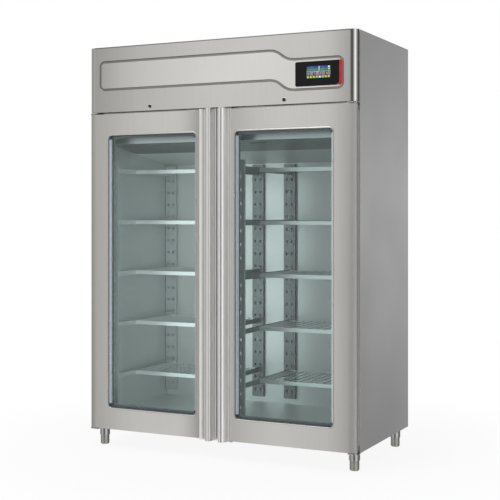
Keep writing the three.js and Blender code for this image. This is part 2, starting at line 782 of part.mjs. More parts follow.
// Knuckles of the header's two hinges
function headerKnuckle(side) {
  const low = side * KNUCKLE_PLACE - KNUCKLE_LENGTH / 2;
  const high = low + KNUCKLE_LENGTH;
  const web = block(low, high, FRONT + EMBED, PIVOT_Y, PIVOT_Z, HEIGHT - EMBED);
  return join(turnedAcross(bar(KNUCKLE_RADIUS, low, high), PIVOT_Y, PIVOT_Z), web);
}

function knuckleBore(side) {
  const low = side * KNUCKLE_PLACE - KNUCKLE_LENGTH / 2 - OVERRUN;
  const high = low + KNUCKLE_LENGTH + 2 * OVERRUN;
  return turnedAcross(bar(KNUCKLE_PIN_RADIUS + SEAM, low, high), PIVOT_Y, PIVOT_Z);
}

function panelOpening() {
  const m = PANEL_BODY_MARGIN - SEAM;
  const low = DECK + PANEL_RISE;
  const right = PANEL_LEFT + PANEL_WIDTH - m;
  const outline = rectangle(PANEL_LEFT + m, right, low + m, low + PANEL_HEIGHT - m);
  return slab(outline, FRONT - OVERRUN, FASCIA_BACK + OVERRUN);
}

// A bore for the lock's barrel and a slot in the bottom flange for its cam, mirrored for the left lock
function lockOpening(side) {
  const bore = bar(LOCK_BARREL_RADIUS + SEAM, FRONT - OVERRUN, FASCIA_BACK + OVERRUN);
  const slot = camSlot(DECK + FLANGE_THICK, DECK - OVERRUN);
  return join(turnedBack(bore, LOCK_PLACE, LOCK_Z), slot).scale([side, 1, 1]);
}

// Rounded end column of the header
function headerCorner() {
  const plan = new THREE.Shape();
  plan.moveTo(FASCIA_END, HEADER_BACK);
  plan.lineTo(FASCIA_END, FRONT);
  plan.absellipse(FASCIA_END, HEADER_BACK, HEADER_CORNER, HEADER_DEPTH, -Math.PI / 2, 0);
  return column(plan, DECK, HEIGHT, HANDLE_STEPS);
}

// Control panel: a glossy bezel with one large radius, and its body through the fascia
function controlPanel() {
  const left = PANEL_LEFT;
  const low = DECK + PANEL_RISE;
  const front = FRONT - PANEL_THICK;
  const bezelBack = FRONT - SEAM;
  const m = PANEL_BODY_MARGIN;
  const right = left + PANEL_WIDTH;
  const high = low + PANEL_HEIGHT;
  const outline = roundedRectangle(left, right, low, high, PANEL_RADIUS, PANEL_LARGE_RADIUS);
  const bodyOutline = rectangle(left + m, right - m, low + m, high - m);
  const body = slab(bodyOutline, bezelBack - EMBED, FRONT + PANEL_BODY_DEPTH);
  const recess = slab(screenOutline(0), front - OVERRUN, front + SCREEN_SINK);
  return cut(join(slab(outline, front, bezelBack), body), recess);
}

function screenOutline(margin) {
  const left = PANEL_LEFT + SCREEN_LEFT;
  const low = DECK + PANEL_RISE + SCREEN_RISE;
  const right = left + SCREEN_WIDTH - margin;
  return rectangle(left + margin, right, low + margin, low + SCREEN_HEIGHT - margin);
}

function displayScreen() {
  const back = FRONT - PANEL_THICK + SCREEN_SINK - SEAM;
  return slab(screenOutline(SEAM), back - SCREEN_THICK, back);
}

// Lock plug with a keyhole and a cam, lying unlocked
function lockPlug() {
  const profile = [
    [0, -LOCK_FACE_THICK],
    [LOCK_FACE_RADIUS, -LOCK_FACE_THICK],
    [LOCK_FACE_RADIUS, -SEAM],
    [LOCK_BARREL_RADIUS, -SEAM],
    [LOCK_BARREL_RADIUS, LOCK_BARREL_END],
    [0, LOCK_BARREL_END],
  ];
  const half = CAM_WIDTH / 2;
  const camFront = LOCK_BARREL_END - CAM_THICK;
  const cam = block(-half, CAM_LENGTH, camFront, LOCK_BARREL_END, -half, half);
  const slotHalf = KEYHOLE_LENGTH / 2;
  const keyhole = block(
    -KEYHOLE_WIDTH / 2,
    KEYHOLE_WIDTH / 2,
    -LOCK_FACE_THICK - OVERRUN,
    KEYHOLE_DEPTH - LOCK_FACE_THICK,
    -slotHalf,
    slotHalf,
  );
  return cut(join(turnedBack(profile, 0, 0, SMALL_SIDES), cam), keyhole);
}

// Rack ladder: a front and a rear upright, both perforated, joined by one runner for each shelf
const UPRIGHT_INNER = MULLION_WIDTH / 2 + UPRIGHT_MULLION_GAP;
const UPRIGHT_OUTER = INNER_SIDE - UPRIGHT_WALL_GAP;
const SHELF_INNER = UPRIGHT_INNER + SHELF_INSET;
const SHELF_WIDTH = UPRIGHT_OUTER - SHELF_INSET - SHELF_INNER;
const SHELF_BACK = INNER_BACK - UPRIGHT_DEPTH - 2 * SEAM;
const SHELF_FRONT = SHELF_BACK - SHELF_DEPTH;
const UPRIGHT_FRONT = CARCASS_FRONT + UPRIGHT_FRONT_SET_BACK;
const LADDER_LOW = FLOOR + UPRIGHT_FLOOR_GAP;
const LADDER_HIGH = CEILING - EVAPORATOR_REAR_HEIGHT - UPRIGHT_TOP_GAP;
const RUNNER_X = SHELF_INNER - RUNNER_SHEET - SEAM;

function upright(x0, x1, y0, columns) {
  const y1 = y0 + UPRIGHT_DEPTH;
  const s = UPRIGHT_SHEET;
  const plan = polygon([
    [x0, y0],
    [x1, y0],
    [x1, y1],
    [x1 - s, y1],
    [x1 - s, y0 + s],
    [x0 + s, y0 + s],
    [x0 + s, y1],
    [x0, y1],
  ]);
  const middle = (x0 + x1 - HOLE_WIDTH) / 2;
  const reach = (columns * HOLE_COLUMN_PITCH) / 2;
  const rows = Math.floor((LADDER_HIGH - LADDER_LOW) / HOLE_PITCH);
  const holes = middles(middle - reach, middle + reach, columns).flatMap((x) =>
    middles(LADDER_LOW, LADDER_LOW + rows * HOLE_PITCH, rows).map((z) =>
      block(x, x + HOLE_WIDTH, y0 - OVERRUN, y0 + s + EMBED, z, z + HOLE_HEIGHT),
    ),
  );
  return cut(column(plan, LADDER_LOW, LADDER_HIGH), ...holes);
}

function shelfHeights() {
  const first = FLOOR + SHELF_FLOOR_GAP;
  const pitch = (CEILING - SHELF_CEILING_GAP - first) / (SHELF_COUNT - 1);
  return Array.from({ length: SHELF_COUNT }, (_, i) => first + i * pitch);
}

function runner(z) {
  const top = z - SHELF_RAIL_HEIGHT - SEAM;
  const low = top - RUNNER_SHEET;
  const front = UPRIGHT_FRONT + UPRIGHT_SHEET - EMBED;
  const back = INNER_BACK - SEAM;
  const x = RUNNER_X;
  return join(
    block(x, x + RUNNER_SHEET, front, back, low, top + RUNNER_HEIGHT),
    block(x, x + RUNNER_LEDGE, SHELF_FRONT, back - UPRIGHT_DEPTH, low, top),
  );
}

function rackLadder() {
  const x0 = UPRIGHT_INNER;
  const rearY = INNER_BACK - SEAM - UPRIGHT_DEPTH;
  return join(
    upright(x0, x0 + UPRIGHT_FRONT_WIDTH, UPRIGHT_FRONT, 1),
    upright(x0, x0 + UPRIGHT_REAR_WIDTH, rearY, 2),
    ...shelfHeights().map(runner),
  );
}

// Shelf grid: a deep front rail, a rim and bars that run front to back
function shelfGrid() {
  const rim = SHELF_RIM;
  const pitch = (SHELF_WIDTH - 2 * rim + SHELF_BAR_WIDTH) / (SHELF_BARS + 1);
  const gaps = Array.from({ length: SHELF_BARS + 1 }, (_, i) => {
    const x = rim + i * pitch;
    return block(x, x + pitch - SHELF_BAR_WIDTH, rim, SHELF_DEPTH - rim, -SHELF_PLATE - OVERRUN, OVERRUN);
  });
  const grid = cut(block(0, SHELF_WIDTH, 0, SHELF_DEPTH, -SHELF_PLATE, 0), ...gaps);
  const low = -SHELF_RAIL_HEIGHT;
  const frontRail = block(0, SHELF_WIDTH, 0, SHELF_RAIL_DEPTH, low, 0);
  const sideRails = [0, SHELF_WIDTH - rim].map((x) => block(x, x + rim, 0, SHELF_DEPTH, low, 0));
  return join(grid, frontRail, ...sideRails);
}

// Evaporator cover: a sloping tray across the ceiling, with air slots in its front half
const EVAPORATOR_FRONT = CARCASS_FRONT + EVAPORATOR_SET_BACK;
const EVAPORATOR_BACK = INNER_BACK - SEAM;
const EVAPORATOR_LOW_FRONT = CEILING - EVAPORATOR_FRONT_HEIGHT;
const EVAPORATOR_LOW_BACK = CEILING - EVAPORATOR_REAR_HEIGHT;
const EVAPORATOR_HALF = INNER_SIDE - EVAPORATOR_SIDE_GAP;

function evaporatorCover() {
  const top = CEILING - SEAM;
  const s = EVAPORATOR_SHEET;
  const outline = polygon([
    [EVAPORATOR_FRONT, top],
    [EVAPORATOR_FRONT, EVAPORATOR_LOW_FRONT],
    [EVAPORATOR_BACK, EVAPORATOR_LOW_BACK],
    [EVAPORATOR_BACK, top],
  ]);
  const hollow = polygon([
    [EVAPORATOR_FRONT + s, top + OVERRUN],
    [EVAPORATOR_FRONT + s, EVAPORATOR_LOW_FRONT + s],
    [EVAPORATOR_BACK - s, EVAPORATOR_LOW_BACK + s],
    [EVAPORATOR_BACK - s, top + OVERRUN],
  ]);
  const half = EVAPORATOR_HALF;
  return cut(rail(outline, -half, half), rail(hollow, s - half, half - s), ...airSlots());
}

function airSlots() {
  const y0 = EVAPORATOR_FRONT + AIR_SLOT_FRONT;
  const y1 = y0 + AIR_SLOT_LENGTH;
  const half = AIR_SLOT_WIDTH / 2;
  return middles(-EVAPORATOR_HALF, EVAPORATOR_HALF, AIR_SLOTS).map((x) =>
    block(x - half, x + half, y0, y1, EVAPORATOR_LOW_BACK, EVAPORATOR_LOW_FRONT + AIR_SLOT_LENGTH),
  );
}

const COIL_WIDTH = 2 * (EVAPORATOR_HALF - COIL_SIDE_GAP);
const EVAPORATOR_FAN_PLACE = COIL_WIDTH / 2 - EVAPORATOR_FAN_INSET;

// A finned coil: upright fins between a top and a bottom plate, with rows of tubes through them
function finnedCoil(width, depth, height, fins, base, rows) {
  const half = width / 2;
  const tube = bar(COIL_TUBE_RADIUS, base - half, half - base);
  const quarterPitch = (half - base) / fins / 2;
  const slots = middles(base - half, half - base, fins).map((x) =>
    block(x - quarterPitch, x + quarterPitch, -OVERRUN, depth + OVERRUN, base, height - base),
  );
  const tubes = middles(base, height - base, rows).map((z) =>
    turnedAcross(tube, depth / 2, z, COIL_TUBE_SIDES),
  );
  return join(cut(block(-half, half, 0, depth, 0, height), ...slots), ...tubes);
}

// Motor on three struts, which carries a fan on a plate
function fanMotor(radius, front, back) {
  const motorRadius = radius * MOTOR_SHARE;
  const struts = middles(0, 2 * Math.PI, STRUT_COUNT).map((angle) => {
    const strut = new THREE.BoxGeometry(radius + STRUT_LAP, STRUT_THICK, STRUT_WIDTH);
    strut.translate((radius + STRUT_LAP) / 2, 0, 0);
    strut.rotateY(angle + STRUT_TURN);
    return solid(strut.translate(0, (front + back) / 2, 0));
  });
  return join(turnedBack(bar(motorRadius, front, back), 0, 0, SMALL_SIDES), ...struts);
}

// Fan rotor about the Y axis: pitched blades on a hub
function fanRotor(radius) {
  const hubRadius = radius * FAN_HUB_SHARE;
  const root = hubRadius / 2;
  const half = rotorHalf(radius);
  const blades = middles(0, 2 * Math.PI, FAN_BLADES).map((angle) => {
    const blade = new THREE.BoxGeometry(radius - root, FAN_BLADE_THICK, radius * FAN_CHORD_SHARE);
    blade.rotateX(FAN_PITCH);
    blade.translate((radius + root) / 2, 0, 0);
    return solid(blade.rotateY(angle));
  });
  return join(turnedBack(bar(hubRadius, -half, half), 0, 0, SMALL_SIDES), ...blades);
}

// Half the rotor's thickness: its pitched blades and a margin
function rotorHalf(radius) {
  return (radius * FAN_CHORD_SHARE * Math.sin(FAN_PITCH)) / 2 + FAN_BLADE_THICK;
}

// Evaporator coil with a fan plate and two fan motors on its front
function evaporatorCoil() {
  const coil = finnedCoil(COIL_WIDTH, COIL_DEPTH, COIL_HEIGHT, COIL_FINS, COIL_BASE, COIL_ROWS);
  const plate = block(-COIL_WIDTH / 2, COIL_WIDTH / 2, -COIL_PLATE, EMBED, 0, COIL_HEIGHT);
  const bores = [];
  const motors = [];
  for (const side of [-1, 1]) {
    const x = side * EVAPORATOR_FAN_PLACE;
    const bore = bar(EVAPORATOR_FAN_RADIUS, -COIL_PLATE - OVERRUN, 0);
    const motor = fanMotor(EVAPORATOR_FAN_RADIUS, -COIL_PLATE / 2, EMBED);
    bores.push(turnedBack(bore, x, COIL_HEIGHT / 2));
    motors.push(motor.translate([x, 0, COIL_HEIGHT / 2]));
  }
  return join(cut(join(coil, plate), ...bores), ...motors);
}

// Places in the machine space: the compressor stands midway between the control box and the condenser
const CONDENSER_X = HALF - CONDENSER_SIDE_GAP - CONDENSER_WIDTH / 2;
const CONDENSER_Y = BACK - CONDENSER_BACK_GAP;
const CONTROL_BOX_LEFT = CONTROL_BOX_SIDE_GAP - HALF;
const CONTROL_BOX_FRONT = CARCASS_FRONT + CONTROL_BOX_FRONT_GAP;
const COMPRESSOR_X = (CONTROL_BOX_LEFT + CONTROL_BOX_WIDTH + CONDENSER_X - CONDENSER_WIDTH / 2) / 2;
const COMPRESSOR_Y = BACK - COMPRESSOR_BACK_GAP;
const GLAND_X = GLAND_SIDE_GAP - HALF;

// Cover over the condensing unit, slotted above the condenser and folded down at the front
const CASING_INNER = HALF - CASING_THICK - SEAM;

function topCover() {
  const end = CASING_INNER;
  const low = HEIGHT - TOP_SHEET;
  const front = CARCASS_FRONT;
  const sheet = block(-end, end, front, BACK - GRILLE_THICK - SEAM, low, HEIGHT);
  const flange = block(-end, end, front, front + TOP_SHEET, HEIGHT - TOP_FLANGE, HEIGHT);
  const y0 = CONDENSER_Y - TOP_SLOT_LENGTH / 2;
  const y1 = y0 + TOP_SLOT_LENGTH;
  const half = TOP_SLOT_WIDTH / 2;
  const reach = TOP_SLOT_FIELD / 2;
  const slots = middles(CONDENSER_X - reach, CONDENSER_X + reach, TOP_SLOT_COUNT).map((x) =>
    block(x - half, x + half, y0, y1, low - OVERRUN, HEIGHT + OVERRUN),
  );
  return join(cut(join(sheet, flange), ...slots), ...[-1, 1].map(coverKnuckles));
}

// Fixed knuckles on both sides of a header knuckle, with the pin through all three
function coverKnuckles(side) {
  const middle = side * KNUCKLE_PLACE;
  const inner = KNUCKLE_LENGTH / 2 + SEAM;
  const outer = inner + KNUCKLE_LENGTH / 2;
  const knuckles = [-1, 1].map((end) => {
    const low = middle + (end < 0 ? -outer : inner);
    const high = low + KNUCKLE_LENGTH / 2;
    const leafLow = PIVOT_Z - KNUCKLE_LEAF / 2;
    const leaf = block(low, high, PIVOT_Y, CARCASS_FRONT + EMBED, leafLow, leafLow + KNUCKLE_LEAF);
    return join(turnedAcross(bar(KNUCKLE_RADIUS, low, high), PIVOT_Y, PIVOT_Z), leaf);
  });
  const pin = bar(KNUCKLE_PIN_RADIUS, middle - outer + EMBED, middle + outer - EMBED);
  return join(turnedAcross(pin, PIVOT_Y, PIVOT_Z), ...knuckles);
}

// Louvred panel behind the condensing unit
const GRILLE_FRONT = BACK - GRILLE_THICK;

function rearGrille() {
  const panel = block(-CASING_INNER, CASING_INNER, GRILLE_FRONT, BACK, DECK + SEAM, HEIGHT);
  const bore = bar(GLAND_NECK_RADIUS, GRILLE_FRONT - OVERRUN, BACK + OVERRUN);
  return cut(panel, ...louvreSlots(), turnedBack(bore, GLAND_X, DECK + GLAND_RISE));
}

function louvreSlots() {
  const reach = CASING_INNER - LOUVRE_SIDE_MARGIN + LOUVRE_GAP / 2;
  const half = reach / LOUVRE_COLUMNS - LOUVRE_GAP / 2;
  const low = DECK + LOUVRE_RISE;
  const rows = Array.from({ length: LOUVRE_ROWS }, (_, row) => low + row * LOUVRE_PITCH);
  return middles(-reach, reach, LOUVRE_COLUMNS).flatMap((x) =>
    rows.map((z) => block(x - half, x + half, GRILLE_FRONT - OVERRUN, BACK + OVERRUN, z, z + LOUVRE_HEIGHT)),
  );
}

// Cable gland inside the rear panel, with an open bore
function cableGland() {
  const face = GRILLE_FRONT - SEAM;
  const front = face - GLAND_LENGTH;
  const neck = GLAND_NECK_RADIUS - SEAM;
  const profile = [
    [GLAND_BORE_RADIUS, front],
    [GLAND_RADIUS, front],
    [GLAND_RADIUS, face],
    [neck, face],
    [neck, BACK - SEAM],
    [GLAND_BORE_RADIUS, BACK - SEAM],
    [GLAND_BORE_RADIUS, front],
  ];
  return turnedBack(profile, GLAND_X, DECK + GLAND_RISE, SMALL_SIDES);
}

// Hermetic compressor: a domed can on a base plate
function compressor() {
  const r = COMPRESSOR_RADIUS;
  const base = DECK + SEAM;
  const canBase = base + COMPRESSOR_BASE_THICK - EMBED;
  const shoulder = canBase + COMPRESSOR_HEIGHT - COMPRESSOR_DOME;
  const dome = new THREE.EllipseCurve(0, shoulder, r, COMPRESSOR_DOME, 0, Math.PI / 2);
  const arc = dome.getPoints(CORNER_STEPS).slice(0, -1).map((point) => point.toArray());
  const can = [[0, canBase], [r, canBase], ...arc, [0, shoulder + COMPRESSOR_DOME]];
  const half = r + COMPRESSOR_FOOT;
  const x = COMPRESSOR_X;
  const y = COMPRESSOR_Y;
  const plate = column(
    roundedRectangle(x - half, x + half, y - half, y + half, COMPRESSOR_FOOT),
    base,
    base + COMPRESSOR_BASE_THICK,
  );
  return join(plate, turnedUp(can, x, y));
}

// Shroud behind the condenser coil, which carries its fan
const SHROUD_FRONT = CONDENSER_Y + CONDENSER_DEPTH + SEAM;
const CONDENSER_FAN_Z = DECK + SEAM + CONDENSER_HEIGHT / 2;

function condenserShroud() {
  const half = CONDENSER_WIDTH / 2;
  const top = CONDENSER_HEIGHT / 2;
  const s = SHROUD_SHEET;
  const box = block(-half, half, 0, SHROUD_DEPTH, -top, top);
  const hollow = block(s - half, half - s, -OVERRUN, SHROUD_DEPTH - s, s - top, top - s);
  const mouth = turnedBack(bar(CONDENSER_FAN_RADIUS, 0, SHROUD_DEPTH + OVERRUN), 0, 0);
  const motor = fanMotor(CONDENSER_FAN_RADIUS, SHROUD_DEPTH - s, SHROUD_DEPTH + MOTOR_LENGTH);
  return join(cut(box, hollow, mouth), strutRing(), motor);
}

// Ring behind the shroud's mouth that the motor's struts reach
function strutRing() {
  const s = SHROUD_SHEET;
  const inner = CONDENSER_FAN_RADIUS;
  const outer = inner + SHROUD_RING;
  const profile = [
    [inner, SHROUD_DEPTH - s],
    [outer, SHROUD_DEPTH - s],
    [outer, SHROUD_DEPTH + MOTOR_LENGTH],
    [inner, SHROUD_DEPTH + MOTOR_LENGTH],
    [inner, SHROUD_DEPTH - s],
  ];
  return turnedBack(profile, 0, 0);
}

// Copper discharge pipe from the compressor's side to the condenser
function dischargePipe() {
  const startX = COMPRESSOR_X + COMPRESSOR_RADIUS + SEAM;
  const endX = CONDENSER_X - CONDENSER_WIDTH / 2 - SEAM;
  const endY = CONDENSER_Y + CONDENSER_DEPTH / 2;
  const start = new THREE.Vector3(startX, COMPRESSOR_Y, DECK + COMPRESSOR_HEIGHT / 2);
  const end = new THREE.Vector3(endX, endY, DECK + CONDENSER_HEIGHT / 2);
  const lead = (end.x - start.x) / 2;
  const path = new THREE.CubicBezierCurve3(
    start,
    new THREE.Vector3(start.x + lead, start.y, start.z),
    new THREE.Vector3(end.x - lead, end.y, end.z),
    end,
  );
  const corners = middles(0, 2 * Math.PI, PIPE_SIDES).map((angle) => [
    PIPE_RADIUS * Math.cos(angle),
    PIPE_RADIUS * Math.sin(angle),
  ]);
  const options = { extrudePath: path, steps: PIPE_STEPS, bevelEnabled: false };
  return solid(new THREE.ExtrudeGeometry(polygon(corners), options));
}

// Electrical box beside the compressor
function controlBox() {
  const x = CONTROL_BOX_LEFT;
  const y = CONTROL_BOX_FRONT;
  const base = DECK + SEAM;
  const right = x + CONTROL_BOX_WIDTH;
  const outline = roundedRectangle(x, right, y, y + CONTROL_BOX_DEPTH, CONTROL_BOX_RADIUS);
  return column(outline, base, base + CONTROL_BOX_HEIGHT);
}

// Assembly
const cabinet = new THREE.Group();

function add(parent, piece, x = 0, y = 0, z = 0) {
  piece.position.set(x, y, z);
  parent.add(piece);
  return piece;
}

// The pieces that both sides of the cabinet have, mirrored for the left
function addSide(side) {
  const half = new THREE.Group();
  half.scale.x = side === "left" ? -1 : 1;
  add(half, mesh(`${side}_wall`, sideWall(), STEEL));
  add(half, mesh(`${side}_foot_front`, footLeg(), BRIGHT_STEEL), FOOT_X, FOOT_PLACES[0]);
  add(half, mesh(`${side}_foot_rear`, footLeg(), BRIGHT_STEEL), FOOT_X, FOOT_PLACES[1]);
  add(half, mesh(`${side}_lower_hinge`, hingeBracket(CARCASS_FRONT + BRACKET_LAP), BRIGHT_STEEL));
  const upper = add(half, mesh(`${side}_upper_hinge`, hingeBracket(CARCASS_FRONT - SEAM), BRIGHT_STEEL));
  upper.scale.z = -1;
  upper.position.z = DOOR_BOTTOM + DOOR_TOP;
  addDoor(half, side);
  add(half, mesh(`${side}_header_corner`, headerCorner(), BRIGHT_STEEL));
  add(half, mesh(`${side}_lock`, lockPlug(), BRIGHT_STEEL), LOCK_PLACE, FRONT, LOCK_Z);
  addRack(half, side);
  cabinet.add(half);
}

function addDoor(half, side) {
  const door = new THREE.Group();
  add(door, mesh(`${side}_door_skin`, doorSkin(), STEEL));
  add(door, mesh(`${side}_door_handle`, doorHandle(), BRIGHT_STEEL));
  add(door, mesh(`${side}_outer_glass`, outerGlass(), GLASS));
  add(door, mesh(`${side}_inner_glass`, innerGlass(), GLASS));
  add(door, mesh(`${side}_door_inner_frame`, doorInnerFrame(), GREY_PLASTIC));
  add(door, mesh(`${side}_door_gasket`, doorGasket(), SEAL_RUBBER));
  half.add(door);
}

function addRack(half, side) {
  add(half, mesh(`${side}_inner_rack`, rackLadder(), INNER_STEEL));
  const outer = add(half, mesh(`${side}_outer_rack`, rackLadder(), INNER_STEEL));
  outer.scale.x = -1;
  outer.position.x = 2 * SHELF_INNER + SHELF_WIDTH;
  shelfHeights().forEach((z, i) => {
    add(half, mesh(`${side}_shelf_${i + 1}`, shelfGrid(), INNER_STEEL), SHELF_INNER, SHELF_FRONT, z);
  });
}

add(cabinet, mesh("back_wall", backWall(), STEEL));
add(cabinet, mesh("ceiling_panel", ceilingPanel(), STEEL));
add(cabinet, mesh("floor_panel", floorPanel(), STEEL));
add(cabinet, mesh("centre_mullion", centreMullion(), STEEL));
addSide("left");
addSide("right");

add(cabinet, mesh("header_fascia", headerFascia(), STEEL));
add(cabinet, mesh("control_panel", controlPanel(), BLACK_PLASTIC));
add(cabinet, mesh("display_screen", displayScreen(), BLACK_PLASTIC));

const COIL_FRONT = EVAPORATOR_BACK - COIL_BACK_GAP - COIL_DEPTH;
const COIL_LOW = CEILING - SEAM - COIL_HEIGHT;
const EVAPORATOR_ROTOR = EVAPORATOR_FAN_RADIUS - FAN_TIP_GAP;
const EVAPORATOR_FAN_Y = COIL_FRONT - COIL_PLATE / 2 - SEAM - rotorHalf(EVAPORATOR_ROTOR);
add(cabinet, mesh("evaporator_cover", evaporatorCover(), INNER_STEEL));
add(cabinet, mesh("evaporator_coil", evaporatorCoil(), ALUMINIUM), 0, COIL_FRONT, COIL_LOW);
for (const [side, sign] of Object.entries({ left: -1, right: 1 })) {
  const fan = mesh(`${side}_evaporator_fan`, fanRotor(EVAPORATOR_ROTOR), BLACK_PLASTIC);
  add(cabinet, fan, sign * EVAPORATOR_FAN_PLACE, EVAPORATOR_FAN_Y, COIL_LOW + COIL_HEIGHT / 2);
}

const CONDENSER_ROTOR = CONDENSER_FAN_RADIUS - FAN_TIP_GAP;
const MOTOR_FRONT = SHROUD_FRONT + SHROUD_DEPTH - SHROUD_SHEET;
const CONDENSER_FAN_Y = MOTOR_FRONT - SEAM - rotorHalf(CONDENSER_ROTOR);
add(cabinet, mesh("top_cover", topCover(), STEEL));
add(cabinet, mesh("rear_grille", rearGrille(), STEEL));
add(cabinet, mesh("cable_gland", cableGland(), BLACK_PLASTIC));
add(cabinet, mesh("compressor", compressor(), BLACK_METAL));
const condenserSizes = [CONDENSER_WIDTH, CONDENSER_DEPTH, CONDENSER_HEIGHT];
const condenser = finnedCoil(...condenserSizes, CONDENSER_FINS, CONDENSER_BASE, CONDENSER_ROWS);
const shroud = mesh("condenser_shroud", condenserShroud(), PALE_METAL);
const condenserFan = mesh("condenser_fan", fanRotor(CONDENSER_ROTOR), BLACK_PLASTIC);
add(cabinet, mesh("condenser_coil", condenser, ALUMINIUM), CONDENSER_X, CONDENSER_Y, DECK + SEAM);
add(cabinet, shroud, CONDENSER_X, SHROUD_FRONT, CONDENSER_FAN_Z);
add(cabinet, condenserFan, CONDENSER_X, CONDENSER_FAN_Y, CONDENSER_FAN_Z);
add(cabinet, mesh("discharge_pipe", dischargePipe(), COPPER));
add(cabinet, mesh("control_box", controlBox(), PALE_METAL));

export default cabinet;
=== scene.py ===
"""Looks of a stainless dry aging cabinet with two glass doors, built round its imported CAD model."""

import json
import math

import bmesh
import bpy
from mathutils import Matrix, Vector


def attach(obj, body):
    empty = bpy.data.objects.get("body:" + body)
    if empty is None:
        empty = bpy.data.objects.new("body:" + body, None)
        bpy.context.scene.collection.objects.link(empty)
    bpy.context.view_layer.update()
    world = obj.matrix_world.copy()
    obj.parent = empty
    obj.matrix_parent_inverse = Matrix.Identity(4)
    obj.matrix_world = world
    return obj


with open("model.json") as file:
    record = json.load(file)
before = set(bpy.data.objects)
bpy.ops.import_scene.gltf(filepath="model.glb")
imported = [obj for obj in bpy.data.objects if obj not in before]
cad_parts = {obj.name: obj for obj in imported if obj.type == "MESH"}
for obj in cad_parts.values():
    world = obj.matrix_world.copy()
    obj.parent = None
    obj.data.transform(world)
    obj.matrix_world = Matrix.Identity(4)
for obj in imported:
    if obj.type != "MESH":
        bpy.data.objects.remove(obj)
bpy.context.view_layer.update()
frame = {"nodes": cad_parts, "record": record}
NODES = frame["nodes"]

# Camera: its place, its heading from +Y towards -X, and the photograph's lens and horizon
CAMERA_PLACE = (2.559, -5.232, 1.229)
CAMERA_HEADING = 25.97
CAMERA_LENS = 79.5
CAMERA_SENSOR = 36
CAMERA_SHIFT = -0.0756

# The left window is the right one mirrored: edges in X and Z, and corner radius, in metres
WINDOW_INNER, WINDOW_OUTER = 0.110, 0.628
WINDOW_LOW, WINDOW_HIGH = 0.211, 1.628
WINDOW_RADIUS = 0.020

# Edge rounding of the sheet metal
EDGE_RADIUS = 0.0012
EDGE_SEGMENTS = 2
EDGE_ANGLE = math.radians(38)
FLAT_ANGLE = math.radians(1)
WELD_DISTANCE = 0.00002

# Steps in a quarter turn
QUARTER_STEPS = 8


# Node graphs

RANGE_SOCKETS = ("From Min", "From Max", "To Min", "To Max")

# Sockets of a Mix node
MIX_FACTOR = 0
NUMBER_A, NUMBER_B, MIXED_NUMBER = 2, 3, 0
COLOR_A, COLOR_B, MIXED_COLOR = 6, 7, 2


class Graph:
    """A node tree, with helpers for the nodes used in it."""

    def __init__(self, tree):
        self.tree = tree
        self.tree.nodes.clear()

    def node(self, kind, **settings):
        made = self.tree.nodes.new(kind)
        for key, value in settings.items():
            setattr(made, key, value)
        return made

    def feed(self, socket, operand):
        """The socket takes a number, a colour or another node's output."""
        if isinstance(operand, (int, float, tuple)):
            socket.default_value = operand
        else:
            self.tree.links.new(operand, socket)

    def math(self, operation, first, second=0.0):
        made = self.node("ShaderNodeMath", operation=operation)
        self.feed(made.inputs[0], first)
        self.feed(made.inputs[1], second)
        return made.outputs[0]

    def spread(self, source, low, high, start=0.3, end=0.7):
        """The source's values from start to end, spread from low to high."""
        made = self.node("ShaderNodeMapRange")
        for socket, value in zip(RANGE_SOCKETS, (start, end, low, high)):
            made.inputs[socket].default_value = value
        self.feed(made.inputs["Value"], source)
        return made.outputs[0]

    def axes(self, system="Object"):
        """The three places of the point, or of the direction, in metres."""
        place = self.node("ShaderNodeTexCoord")
        parts = self.node("ShaderNodeSeparateXYZ")
        self.feed(parts.inputs[0], place.outputs[system])
        return parts.outputs

    def between(self, letter, low, high):
        """One where the point lies between two places along an axis, else zero."""
        place = self.axes()[letter]
        above = self.math("GREATER_THAN", place, low)
        return self.math("MULTIPLY", above, self.math("LESS_THAN", place, high))

    def blended(self, factor, first, second):
        """Two numbers, or outputs that carry one, blended by a factor."""
        made = self.node("ShaderNodeMix", data_type="FLOAT")
        self.feed(made.inputs[MIX_FACTOR], factor)
        self.feed(made.inputs[NUMBER_A], first)
        self.feed(made.inputs[NUMBER_B], second)
        return made.outputs[MIXED_NUMBER]

    def blended_color(self, factor, first, second, **settings):
        """Two colours, or outputs that carry one, blended by a factor."""
        made = self.node("ShaderNodeMix", data_type="RGBA", **settings)
        self.feed(made.inputs[MIX_FACTOR], factor)
        self.feed(made.inputs[COLOR_A], first)
        self.feed(made.inputs[COLOR_B], second)
        return made.outputs[MIXED_COLOR]

    def ray(self, *kinds):
        """One for rays of these kinds, else zero."""
        rays = self.node("ShaderNodeLightPath")
        total = 0.0
        for kind in kinds:
            total = self.math("MAXIMUM", rays.outputs[kind], total)
        return total


